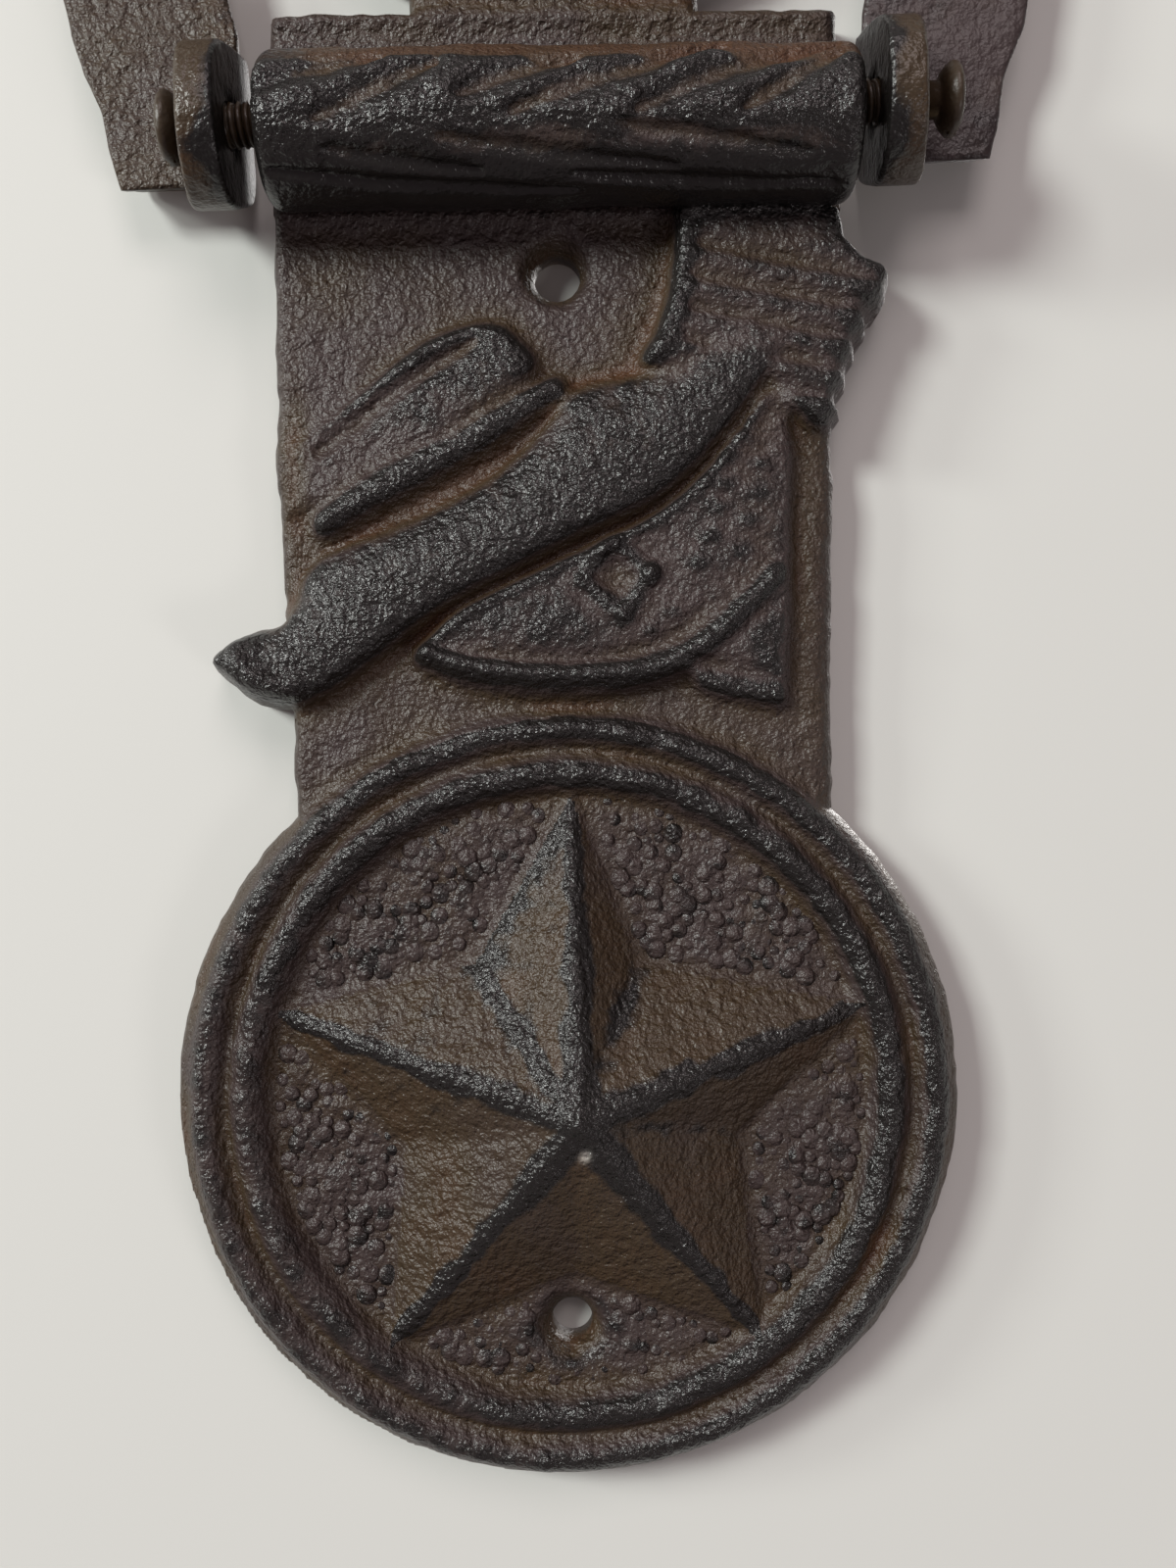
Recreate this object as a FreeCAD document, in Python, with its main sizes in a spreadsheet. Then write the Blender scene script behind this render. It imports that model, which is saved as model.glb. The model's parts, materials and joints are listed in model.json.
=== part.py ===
import FreeCAD, Part
import math
import os
import Sketcher
from FreeCAD import Placement, Rotation, Vector

# Cast iron door knocker, in millimetres.
# Frame: +Z up as it hangs, +X to the right, the front looks along -Y, the door is the plane y = 0.
# Origin: on the door plane, midway between the two fixing holes.
# "stand" is a distance out from the door, "rise" is a height above the origin.

doc = FreeCAD.newDocument("door_knocker")

# ---------------------------------------------------------------------------------------------
# Driving dimensions
# ---------------------------------------------------------------------------------------------
SIZES = [
    ("plate_thick", 4.6, "flat of the back plate, door to front face"),
    ("plate_half", 26.4, "half the width of the plate's straight part"),
    ("hole_spacing", 100.0, "between the two fixing holes"),
    ("fixing_dia", 4.5, "fixing hole, clear of a 4 mm wood screw"),
    ("sink_dia", 6.8, "countersink at the front face"),
    ("disc_radius", 37.4, "round star boss"),
    ("disc_fall", 27.8, "centre of the boss below the origin"),
    ("ring_outer", 34.2, "radius of the outer ridge"),
    ("ring_inner", 30.2, "radius of the inner ridge"),
    ("ring_section", 1.9, "radius of a ridge's own section"),
    ("star_radius", 28.6, "centre of the star to a tip"),
    ("star_waist", 15.6, "centre of the star to an inner corner"),
    ("star_rise", 9.2, "top of the star above the plate face"),
    ("star_tip_scale", 0.02, "size of the star's blunt top against its foot"),
    ("star_wall", 3.4, "metal left over the hollow behind the star"),
    ("barrel_radius", 7.4, "round of the hinge barrel"),
    ("barrel_stand", 9.6, "barrel axis out from the door"),
    ("barrel_half", 26.7, "half the barrel's length"),
    ("barrel_rise", 61.0, "barrel axis above the origin"),
    ("shoulder_rise", 74.6, "top edge of the shoulder"),
    ("shoulder_half", 27.4, "half the shoulder's width"),
    ("neck_half", 13.8, "half the neck's width"),
    ("neck_reach", 9.0, "neck above the shoulder, under the hat"),
    ("overlap", 4.0, "how far one flat of the casting runs into the next"),
    ("hat_low", 75.6, "lowest point of the brim"),
    ("hat_half", 25.5, "half the brim's width"),
    ("hat_tip_rise", 88.5, "height of the brim's two tips"),
    ("hat_top_rise", 107.5, "top of the crown"),
    ("hat_crown_half", 12.0, "half the crown's width"),
    ("brim_relief", 1.6, "brim above the plate face"),
    ("crown_relief", 4.6, "crown above the plate face"),
    ("boot_relief", 2.4, "rear boot above the plate face"),
    ("front_boot_relief", 3.2, "front boot above the plate face"),
    ("pivot_rise", 61.8, "pivot line above the origin"),
    ("pivot_stand", 10.6, "pivot line out from the door"),
    ("pivot_tilt", 1.25, "degrees that the drilled pivot line is off level"),
    ("lug_inner", 29.2, "middle to a lug's inner face"),
    ("lug_thick", 3.4, "thickness of a lug"),
    ("lug_top", 9.0, "foot of a lug beyond the pivot line"),
    ("lug_shoulder", 6.2, "lug beyond the pivot line, level with it"),
    ("lug_below", 6.9, "lug behind the pivot line"),
    ("lug_front", 6.4, "lug in front of the pivot line"),
    ("lug_bore", 4.16, "hole in a lug, running fit on the screw"),
    ("shoe_thick", 4.9, "horseshoe plate"),
    ("shoe_toe_radius", 41.9, "outer round of the toe"),
    ("shoe_toe_rise", 56.4, "centre of the toe's round beyond the pivot"),
    ("shoe_side_radius", 100.0, "outer round of a branch"),
    ("shoe_side_fall", 25.0, "centre of a branch's round below the toe's"),
    ("shoe_web", 15.8, "width of the shoe's iron"),
    ("shoe_heel_drop", 2.8, "heel ends beyond the pivot line"),
    ("shoe_notch_rise", 16.0, "top of the straight gap between the heels"),
    ("crease_start", 10.0, "start of the groove beyond the pivot line"),
    ("crease_width", 3.4, "groove round the shoe's dressed face"),
    ("crease_depth", 1.2, "depth of that groove"),
    ("nail_side", 2.6, "square nail hole"),
    ("nail_depth", 2.6, "depth of a nail hole"),
    ("screw_dia", 4.0, "M4 shank"),
    ("head_dia", 6.5, "screw head"),
    ("head_thick", 2.5, "height of the screw head"),
    ("head_left", 33.5, "middle to the underside of the left screw's head"),
    ("head_right", 34.9, "middle to the underside of the right screw's head"),
    ("screw_end", 17.0, "middle to the end of a screw"),
    ("slot_width", 1.1, "driver slot"),
    ("slot_depth", 1.1, "depth of the driver slot"),
]

sheet = doc.addObject("Spreadsheet::Sheet", "Sizes")
for row, (alias, value, note) in enumerate(SIZES, start=1):
    sheet.set(f"A{row}", note)
    sheet.set(f"B{row}", str(value))
    sheet.setAlias(f"B{row}", alias)
doc.recompute()


def size(alias):
    """Value of one driving dimension."""
    return float(sheet.get(alias))


def cell(alias):
    """Expression that names one driving dimension."""
    return f"Sizes.{alias}"


# ---------------------------------------------------------------------------------------------
# Helpers for bodies, sketches and features
# ---------------------------------------------------------------------------------------------
def new_body(label):
    """Empty body whose label is also its file's name."""
    body = doc.addObject("PartDesign::Body", label)
    body.Label = label
    return body


def new_sketch(body, name, plane, offset=None):
    """Sketch on one of the body's own origin planes, moved along the plane's normal by offset."""
    sketch = body.newObject("Sketcher::SketchObject", name)
    origin_plane = [item for item in body.Origin.OriginFeatures if item.Role == plane][0]
    sketch.AttachmentSupport = [(origin_plane, "")]
    sketch.MapMode = "FlatFace"
    if offset is not None:
        sketch.setExpression("AttachmentOffset.Base.z", offset)
    return sketch


def pin_point(sketch, geo, pos, x_expression, y_expression):
    """Hold a point of the sketch at two bound distances from its origin."""
    along = sketch.addConstraint(Sketcher.Constraint("DistanceX", -1, 1, geo, pos, 1.0))
    sketch.setExpression(f"Constraints[{along}]", x_expression)
    up = sketch.addConstraint(Sketcher.Constraint("DistanceY", -1, 1, geo, pos, 1.0))
    sketch.setExpression(f"Constraints[{up}]", y_expression)


def add_circle(sketch, x, y, radius, radius_expression):
    """Circle whose radius is bound to the sheet."""
    geo = sketch.addGeometry(Part.Circle(Vector(x, y, 0), Vector(0, 0, 1), radius), False)
    bound = sketch.addConstraint(Sketcher.Constraint("Radius", geo, radius))
    sketch.setExpression(f"Constraints[{bound}]", radius_expression)
    return geo


def add_rectangle(sketch, low, high, low_expressions, high_expressions):
    """Upright rectangle with its lower left and upper right corners bound to the sheet."""
    corners = [
        Vector(low[0], low[1], 0),
        Vector(high[0], low[1], 0),
        Vector(high[0], high[1], 0),
        Vector(low[0], high[1], 0),
    ]
    first = len(sketch.Geometry)
    for index in range(4):
        sketch.addGeometry(Part.LineSegment(corners[index], corners[(index + 1) % 4]), False)
    for index in range(4):
        after = first + (index + 1) % 4
        sketch.addConstraint(Sketcher.Constraint("Coincident", first + index, 2, after, 1))
        direction = "Horizontal" if index % 2 == 0 else "Vertical"
        sketch.addConstraint(Sketcher.Constraint(direction, first + index))
    pin_point(sketch, first, 1, *low_expressions)
    pin_point(sketch, first + 2, 1, *high_expressions)


def add_outline(sketch, points):
    """Closed outline. A point is (x, y), or (x, y, via_x, via_y) at the end of an arc."""
    start = Vector(points[-1][0], points[-1][1], 0)
    for point in points:
        end = Vector(point[0], point[1], 0)
        if len(point) == 4:
            edge = Part.Arc(start, Vector(point[2], point[3], 0), end)
        else:
            edge = Part.LineSegment(start, end)
        sketch.addGeometry(edge, False)
        start = end


def add_pad(body, sketch, name, length, midplane=False, reverse=False):
    """Pad with its length bound to the sheet."""
    pad = body.newObject("PartDesign::Pad", name)
    pad.Profile = sketch
    pad.Midplane = midplane
    pad.Reversed = reverse
    pad.setExpression("Length", length)
    doc.recompute()
    return pad


def add_pocket(body, sketch, name, length, reverse=False, midplane=False):
    """Pocket with its depth bound to the sheet, checked to have cut something."""
    before = body.Shape.Volume
    pocket = body.newObject("PartDesign::Pocket", name)
    pocket.Profile = sketch
    pocket.Reversed = reverse
    pocket.Midplane = midplane
    pocket.setExpression("Length", length)
    doc.recompute()
    if body.Shape.Volume >= before - 1e-3:
        raise RuntimeError(f"{name} cuts nothing")
    return pocket


def star_outline(radius, waist, centre_x, centre_y):
    """Ten corners of a five-pointed star, tip upwards."""
    corners = []
    for step in range(10):
        reach = radius if step % 2 == 0 else waist
        angle = math.radians(90 + 36 * step)
        corners.append((centre_x + reach * math.cos(angle), centre_y + reach * math.sin(angle)))
    return corners


# ---------------------------------------------------------------------------------------------
# Back plate: one casting
# ---------------------------------------------------------------------------------------------
FACE = cell("plate_thick")
DISC_Z = -size("disc_fall")


def plate_blank(body):
    """Flat of the casting: round boss, straight part, shoulder and neck."""
    disc = new_sketch(body, "disc_outline", "XZ_Plane")
    circle = add_circle(disc, 0, DISC_Z, size("disc_radius"), cell("disc_radius"))
    pin_point(disc, circle, 3, "0", f"-{cell('disc_fall')}")
    add_pad(body, disc, "disc", FACE)

    strip = new_sketch(body, "plate_outline", "XZ_Plane")
    half = cell("plate_half")
    add_rectangle(
        strip, (-26, -4), (26, 60), (f"-{half}", f"-{cell('overlap')}"), (half, cell("barrel_rise")))
    add_pad(body, strip, "plate", FACE)

    shoulder = new_sketch(body, "shoulder_outline", "XZ_Plane")
    half = cell("shoulder_half")
    add_rectangle(
        shoulder, (-27, 57), (27, 75),
        (f"-{half}", f"{cell('barrel_rise')} - {cell('overlap')}"), (half, cell("shoulder_rise")),
    )
    add_pad(body, shoulder, "shoulder", FACE)

    neck = new_sketch(body, "neck_outline", "XZ_Plane")
    half = cell("neck_half")
    add_rectangle(
        neck, (-14, 70), (14, 84),
        (f"-{half}", f"{cell('shoulder_rise')} - {cell('overlap')}"),
        (half, f"{cell('shoulder_rise')} + {cell('neck_reach')}"),
    )
    add_pad(body, neck, "neck", FACE)


def barrel(body):
    """Solid round hinge barrel that stands on the plate."""
    section = new_sketch(body, "barrel_section", "YZ_Plane")
    radius = cell("barrel_radius")
    stand = size("barrel_stand")
    circle = add_circle(section, -stand, size("barrel_rise"), size("barrel_radius"), radius)
    pin_point(section, circle, 3, f"-{cell('barrel_stand')}", cell("barrel_rise"))
    add_pad(body, section, "barrel", f"2 * {cell('barrel_half')}", midplane=True)


def ring_ridges(body):
    """Two round ridges near the rim of the boss."""
    for name in ("ring_outer", "ring_inner"):
        section = new_sketch(body, f"{name}_section", "YZ_Plane")
        reach = size(name)
        place = Vector(-size("plate_thick"), DISC_Z + reach, 0)
        circle = section.addGeometry(
            Part.Circle(place, Vector(0, 0, 1), size("ring_section")), False)
        bound = section.addConstraint(Sketcher.Constraint("Radius", circle, size("ring_section")))
        section.setExpression(f"Constraints[{bound}]", cell("ring_section"))
        pin_point(section, circle, 3, f"-{FACE}", f"{cell(name)} - {cell('disc_fall')}")
        axis = section.addGeometry(
            Part.LineSegment(Vector(-10, DISC_Z, 0), Vector(0, DISC_Z, 0)), True)
        section.addConstraint(Sketcher.Constraint("Horizontal", axis))
        pin_point(section, axis, 2, "0", f"-{cell('disc_fall')}")
        ridge = body.newObject("PartDesign::Revolution", name)
        ridge.Profile = section
        ridge.ReferenceAxis = (section, ["Axis0"])
        ridge.Angle = 360
        doc.recompute()


def star(body):
    """Five-pointed star with flat facets, solid at the front and hollow behind."""
    radius = size("star_radius")
    waist = size("star_waist")
    blunt = size("star_tip_scale")
    foot = new_sketch(body, "star_foot", "XZ_Plane", f"{FACE} - 0.5")
    add_outline(foot, star_outline(radius, waist, 0, DISC_Z))
    top = new_sketch(body, "star_top", "XZ_Plane", f"{FACE} + {cell('star_rise')}")
    add_outline(top, star_outline(radius * blunt, waist * blunt, 0, DISC_Z))
    solid = body.newObject("PartDesign::AdditiveLoft", "star")
    solid.Profile = foot
    solid.Sections = [top]
    solid.Ruled = True
    doc.recompute()

    before = body.Shape.Volume
    ratio = 1 - size("star_wall") / (size("star_rise") + size("plate_thick"))
    mouth = new_sketch(body, "hollow_mouth", "XZ_Plane")
    add_outline(mouth, star_outline(radius * ratio, waist * ratio, 0, DISC_Z))
    depth = f"{FACE} + {cell('star_rise')} - {cell('star_wall')}"
    roof = new_sketch(body, "hollow_roof", "XZ_Plane", depth)
    add_outline(roof, star_outline(radius * blunt, waist * blunt, 0, DISC_Z))
    hollow = body.newObject("PartDesign::SubtractiveLoft", "star_hollow")
    hollow.Profile = mouth
    hollow.Sections = [roof]
    hollow.Ruled = True
    doc.recompute()
    if body.Shape.Volume >= before:
        raise RuntimeError("the star's hollow cuts nothing")


def boots(body):
    """Two western boots in low relief. The rear toe and the ribbed cuff overhang the plate."""
    rear = new_sketch(body, "rear_boot_outline", "XZ_Plane")
    add_outline(rear, [
        (-31.9, 13.4), (-30.2, 15.9, -31.3, 15.0), (-25.6, 17.6), (-24.6, 20.9), (-21.8, 23.4),
        (-6.4, 29.9, -13.6, 26.3), (1.0, 37.4, -2.0, 34.4), (6.8, 39.2, 4.0, 39.3),
        (10.6, 47.0, 9.2, 43.0), (11.3, 54.0), (27.0, 52.4), (31.4, 49.4), (30.6, 45.0),
        (28.4, 42.0), (26.6, 36.0), (25.2, 32.0), (14.0, 31.0), (4.5, 25.2),
        (-15.9, 14.4, -5.6, 20.4), (-25.1, 8.9, -20.6, 11.0), (-29.3, 9.9),
    ])
    add_pad(body, rear, "rear_boot", f"{FACE} + {cell('boot_relief')}")

    front = new_sketch(body, "front_boot_outline", "XZ_Plane")
    add_outline(front, [
        (-13.2, 13.6), (4.5, 24.6, -5.2, 20.6), (19.8, 37.7, 13.8, 30.8), (21.4, 36.0),
        (21.0, 8.2), (13.0, 9.7), (11.6, 11.3), (-6.8, 10.2, 2.4, 9.3), (-13.2, 12.6),
    ])
    add_pad(body, front, "front_boot", f"{FACE} + {cell('front_boot_relief')}")


def hat(body):
    """Plain wide-brimmed hat in relief on top of the neck."""
    half = size("hat_half")
    tip = size("hat_tip_rise")
    crown = size("hat_crown_half")
    crown_foot = tip - 3.5
    brim = new_sketch(body, "brim_outline", "XZ_Plane")
    add_outline(brim, [(half, tip, 0, size("hat_low")), (-half, tip, 0, crown_foot)])
    add_pad(body, brim, "brim", f"{FACE} + {cell('brim_relief')}")

    top = size("hat_top_rise")
    dome = new_sketch(body, "crown_outline", "XZ_Plane")
    add_outline(dome, [
        (-crown, crown_foot - 4), (crown, crown_foot - 4, 0, crown_foot - 6.5),
        (crown - 1.5, top - 3), (2.5, top - 2, crown - 6, top), (-2.5, top - 2, 0, top - 3),
        (-crown + 1.5, top - 3, -crown + 6, top),
    ])
    add_pad(body, dome, "crown", f"{FACE} + {cell('crown_relief')}")


def fixing_holes(body):
    """Two countersunk holes on the middle line."""
    points = new_sketch(body, "fixing_points", "XZ_Plane", FACE)
    reach = size("hole_spacing") / 2
    for side in (1, -1):
        circle = add_circle(points, 0, side * reach, size("fixing_dia") / 2,
                            f"{cell('fixing_dia')} / 2")
        pin_point(points, circle, 3, "0", f"{side} * {cell('hole_spacing')} / 2")
    doc.recompute()
    before = body.Shape.Volume
    holes = body.newObject("PartDesign::Hole", "fixing_holes")
    holes.Profile = points
    holes.DepthType = "ThroughAll"
    holes.Threaded = False
    holes.HoleCutType = "Countersink"
    holes.HoleCutCustomValues = True
    holes.HoleCutCountersinkAngle = 90
    holes.setExpression("Diameter", cell("fixing_dia"))
    holes.setExpression("HoleCutDiameter", cell("sink_dia"))
    doc.recompute()
    if body.Shape.Volume >= before - 50:
        raise RuntimeError("the fixing holes cut too little")


def tapped_holes(body):
    """A blind hole in each end of the barrel, on the pivot line."""
    tilt = math.radians(size("pivot_tilt"))
    before = body.Shape.Volume
    for side, name in ((-1, "left_tapped_hole"), (1, "right_tapped_hole")):
        tool = body.newObject("PartDesign::SubtractiveCylinder", name)
        tool.setExpression("Radius", f"{cell('screw_dia')} / 2")
        tool.setExpression("Height", f"{cell('lug_inner')} - {cell('screw_end')}")
        along = Vector(math.cos(tilt), 0, math.sin(tilt)) * side
        start = Vector(0, -size("pivot_stand"), size("pivot_rise")) + along * size("screw_end")
        tool.Placement = Placement(start, Rotation(Vector(0, 0, 1), along))
        doc.recompute()
    removed = before - body.Shape.Volume
    print("tapped holes remove", round(removed, 1), "mm3")


back_plate = new_body("back_plate")
plate_blank(back_plate)
boots(back_plate)
hat(back_plate)
barrel(back_plate)
ring_ridges(back_plate)
star(back_plate)
fixing_holes(back_plate)
tapped_holes(back_plate)

# ---------------------------------------------------------------------------------------------
# Horseshoe, modelled about its own pivot line: local origin on the pivot's foot on the door
# ---------------------------------------------------------------------------------------------


def side_round(inset):
    """Centre and radius of the right branch's round, moved inwards by inset."""
    gap = size("shoe_side_radius") - size("shoe_toe_radius")
    fall = size("shoe_side_fall")
    across = math.sqrt(gap * gap - fall * fall)
    return Vector(-across, size("shoe_toe_rise") - fall, 0), size("shoe_side_radius") - inset


def branch_x(inset, rise):
    """Half width of the shoe's outline, moved inwards by inset, at one height over the pivot."""
    centre, radius = side_round(inset)
    return centre.x + math.sqrt(radius ** 2 - (rise - centre.y) ** 2)


def shoe_curve(inset, start):
    """Start, middle and end of a branch's round, then the top of the toe's round."""
    centre, radius = side_round(inset)
    toe = size("shoe_toe_radius") - inset
    toe_centre = Vector(0, size("shoe_toe_rise"), 0)
    # The toe's round and a branch's round touch on the line through their centres.
    towards_touch = (toe_centre - centre).normalize()
    touch = toe_centre + towards_touch * toe
    middle_rise = (start + touch.y) / 2
    middle = Vector(branch_x(inset, middle_rise), middle_rise, 0)
    return Vector(branch_x(inset, start), start, 0), middle, touch, toe_centre + Vector(0, toe, 0)


def shoe_band(outer_inset, inner_inset, start):
    """Closed band between two insets of the shoe's outline, as points for add_outline."""
    heel, middle, touch, top = shoe_curve(outer_inset, start)
    in_heel, in_middle, in_touch, in_top = shoe_curve(inner_inset, start)
    return [
        (heel.x, heel.y),
        (touch.x, touch.y, middle.x, middle.y),
        (-touch.x, touch.y, top.x, top.y),
        (-heel.x, heel.y, -middle.x, middle.y),
        (-in_heel.x, in_heel.y),
        (-in_touch.x, in_touch.y, -in_middle.x, in_middle.y),
        (in_touch.x, in_touch.y, in_top.x, in_top.y),
        (in_heel.x, in_heel.y, in_middle.x, in_middle.y),
    ]


def shoe_plate(body):
    """The shoe's iron, flat on the door."""
    outline = new_sketch(body, "shoe_outline", "XZ_Plane")
    add_outline(outline, shoe_band(0, size("shoe_web"), -size("shoe_heel_drop")))
    add_pad(body, outline, "shoe", cell("shoe_thick"))

    notch = new_sketch(body, "heel_gap_outline", "XZ_Plane")
    half = cell("lug_inner")
    low = f"-2 * {cell('shoe_heel_drop')}"
    add_rectangle(notch, (-29, -5), (29, 16), (f"-{half}", low), (half, cell("shoe_notch_rise")))
    add_pocket(body, notch, "heel_gap", cell("shoe_thick"), reverse=True)


def shoe_lugs(body):
    """A round-ended lug on each heel, square to the pivot line."""
    stand = size("pivot_stand")
    above = size("lug_shoulder")
    below = size("lug_below")
    foot = size("shoe_thick") / 2
    for side, name in ((-1, "left_lug"), (1, "right_lug")):
        inner = cell("lug_inner")
        offset = inner if side > 0 else f"-{inner}"
        section = new_sketch(body, f"{name}_section", "YZ_Plane", offset)
        add_outline(section, [
            (-foot, size("lug_top")), (-stand, above),
            (-stand, -below, -stand - size("lug_front"), (above - below) / 2),
            (-foot, -size("shoe_heel_drop")),
        ])
        add_pad(body, section, name, cell("lug_thick"), reverse=(side < 0))


def shoe_bores(body):
    """Hole through both lugs for the pivot screws."""
    section = new_sketch(body, "bore_section", "YZ_Plane")
    circle = add_circle(section, -size("pivot_stand"), 0, size("lug_bore") / 2,
                        f"{cell('lug_bore')} / 2")
    pin_point(section, circle, 3, f"-{cell('pivot_stand')}", "0")
    reach = f"2 * {cell('head_right')}"
    add_pocket(body, section, "lug_bores", reach, midplane=True)


def shoe_dressing(body):
    """Groove and nail holes on the face that looks out when the knocker hangs."""
    middle = size("shoe_web") / 2
    half = size("crease_width") / 2
    groove = new_sketch(body, "crease_outline", "XZ_Plane")
    add_outline(groove, shoe_band(middle - half, middle + half, size("crease_start")))
    add_pocket(body, groove, "crease", cell("crease_depth"), reverse=True)

    nails = new_sketch(body, "nail_squares", "XZ_Plane")
    square = size("nail_side") / 2
    for rise in (22.0, 38.0, 54.0):
        for side in (-1, 1):
            x = side * branch_x(middle, rise)
            add_outline(nails, [
                (x - square, rise - square), (x + square, rise - square),
                (x + square, rise + square), (x - square, rise + square),
            ])
    add_pocket(body, nails, "nail_holes", cell("nail_depth"), reverse=True)


horseshoe = new_body("horseshoe_knocker")
shoe_plate(horseshoe)
shoe_lugs(horseshoe)
shoe_bores(horseshoe)
shoe_dressing(horseshoe)

# ---------------------------------------------------------------------------------------------
# Pivot screws: turned about their own X axis, head on the outside
# ---------------------------------------------------------------------------------------------


def mirrored(point, side):
    """A point of the outline, with its arc's middle if it has one, on the given side."""
    return tuple(value * side if index % 2 == 0 else value for index, value in enumerate(point))


def pivot_screw(label, side, inner):
    """Slotted machine screw along X, with the underside of its head at inner on the given side."""
    body = new_body(label)
    turned = new_sketch(body, "screw_section", "XZ_Plane")
    shank = size("screw_dia") / 2
    head = size("head_dia") / 2
    outer = inner + size("head_thick")
    tip = size("screw_end")
    points = [
        (tip, 0), (tip, shank - 0.6), (tip + 0.6, shank), (inner, shank), (inner, head),
        (outer - 1.2, head), (outer, 0, outer - 0.35, head / 2 + 0.4),
    ]
    add_outline(turned, [mirrored(point, side) for point in points])
    thread = body.newObject("PartDesign::Revolution", "turned_screw")
    thread.Profile = turned
    thread.ReferenceAxis = (turned, ["H_Axis"])
    thread.Angle = 360
    doc.recompute()

    slot = new_sketch(body, "slot_outline", "XZ_Plane")
    half = size("slot_width") / 2
    deep = outer - size("slot_depth")
    low, high = sorted((side * deep, side * (outer + 1)))
    add_outline(slot, [(low, -half), (high, -half), (high, half), (low, half)])
    add_pocket(body, slot, "driver_slot", f"2 * {cell('head_dia')}", midplane=True)
    return body


screw_left = pivot_screw("pivot_screw_left", -1, size("head_left"))
screw_right = pivot_screw("pivot_screw_right", 1, size("head_right"))

# ---------------------------------------------------------------------------------------------
# Assembly, checks and files
# ---------------------------------------------------------------------------------------------
level = Rotation(Vector(0, 1, 0), -size("pivot_tilt"))
horseshoe.Placement = Placement(Vector(0, 0, size("pivot_rise")), level)
pivot_point = Vector(0, -size("pivot_stand"), size("pivot_rise"))
for screw in (screw_left, screw_right):
    screw.Placement = Placement(pivot_point, level)
doc.recompute()

for item in doc.Objects:
    if "Invalid" in item.State or "Error" in item.State:
        raise RuntimeError(f"{item.Label} failed: {item.State}")

os.makedirs("parts", exist_ok=True)
for body in (back_plate, horseshoe, screw_left, screw_right):
    shape = body.Shape
    if shape.isNull() or not shape.isValid() or len(shape.Solids) != 1:
        raise RuntimeError(f"{body.Label} is not one valid solid")
    shape.exportStep(f"parts/{body.Label}.step")
    box = shape.BoundBox
    print(body.Label, round(shape.Volume), "mm3, box", [
        round(value, 1) for value in (box.XMin, box.YMin, box.ZMin, box.XMax, box.YMax, box.ZMax)])
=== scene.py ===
# %% [markdown]
# # A cast iron door knocker
# The knocker is two iron castings and two screws. The back plate carries a star in a round boss,
# a pair of boots in low relief, a round hinge barrel and a hat. A horseshoe swings on two screws
# that are threaded into the barrel's ends. The CAD model gives the sizes, the holes and the pivot
# line. This script gives the castings their sculpted faces, their rough skin and their paint.

# %% Load the frame
import json
import math

import bpy
import numpy as np
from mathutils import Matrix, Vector


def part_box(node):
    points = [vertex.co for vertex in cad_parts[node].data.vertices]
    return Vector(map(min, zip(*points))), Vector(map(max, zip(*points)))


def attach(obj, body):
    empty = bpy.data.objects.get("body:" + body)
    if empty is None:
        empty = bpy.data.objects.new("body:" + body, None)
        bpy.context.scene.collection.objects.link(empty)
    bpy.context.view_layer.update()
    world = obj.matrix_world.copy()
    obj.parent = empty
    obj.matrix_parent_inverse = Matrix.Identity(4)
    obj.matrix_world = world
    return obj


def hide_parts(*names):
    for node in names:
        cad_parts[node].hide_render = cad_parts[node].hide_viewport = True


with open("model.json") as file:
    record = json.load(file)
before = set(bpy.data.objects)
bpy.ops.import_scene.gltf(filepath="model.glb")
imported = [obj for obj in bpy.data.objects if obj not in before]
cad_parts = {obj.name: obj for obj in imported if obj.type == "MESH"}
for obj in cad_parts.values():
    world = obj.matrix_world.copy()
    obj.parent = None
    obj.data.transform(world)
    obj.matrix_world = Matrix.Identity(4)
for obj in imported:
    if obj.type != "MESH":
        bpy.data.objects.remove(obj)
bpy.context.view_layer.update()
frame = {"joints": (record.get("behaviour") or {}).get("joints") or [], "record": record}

# %% [markdown]
# ## Places that come from the CAD
# Everything below is worked out in millimetres, because the castings are drawn that way, and is
# turned into metres when a mesh is made. The pivot line and the plate's corners are read from the
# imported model, so the sculpted faces meet the parts that move.

# %% Places in millimetres
MM = 0.001
joint = frame["joints"][0]
PIVOT = np.array(joint["pos_m"]) / MM
PIVOT_AXIS = np.array(joint["axis"]) / np.linalg.norm(joint["axis"])
TILT = math.atan2(PIVOT_AXIS[2], PIVOT_AXIS[0])
PLATE_LOW, PLATE_HIGH = (np.array(corner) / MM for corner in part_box("back_plate"))
HOLE_REACH = frame["record"]["mounts"][0]["dims"]["spacing_y_mm"] / 2
HOLE_RADIUS = frame["record"]["mounts"][0]["dims"]["hole_r_mm"]

DISC_RADIUS = (PLATE_HIGH[0] - PLATE_LOW[0]) / 2 - 0.15
DISC = np.array([0.0, PLATE_LOW[2] + (PLATE_HIGH[0] - PLATE_LOW[0]) / 2])
FACE = 4.4
BARREL_STAND = 9.6
BARREL_RISE = 61.0
print("pivot at", PIVOT, "tilt in degrees", round(math.degrees(TILT), 2))

# %% [markdown]
# ## Rough iron without a texture file
# Sand casting leaves a skin with lumps at several sizes. A Displace modifier with a noise texture
# could give that too. Value noise in numpy is used instead, because the same noise then also moves
# the outlines and the paint: random numbers on a square lattice, smoothly joined. They come from a
# fixed seed, so every run is the same.

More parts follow.
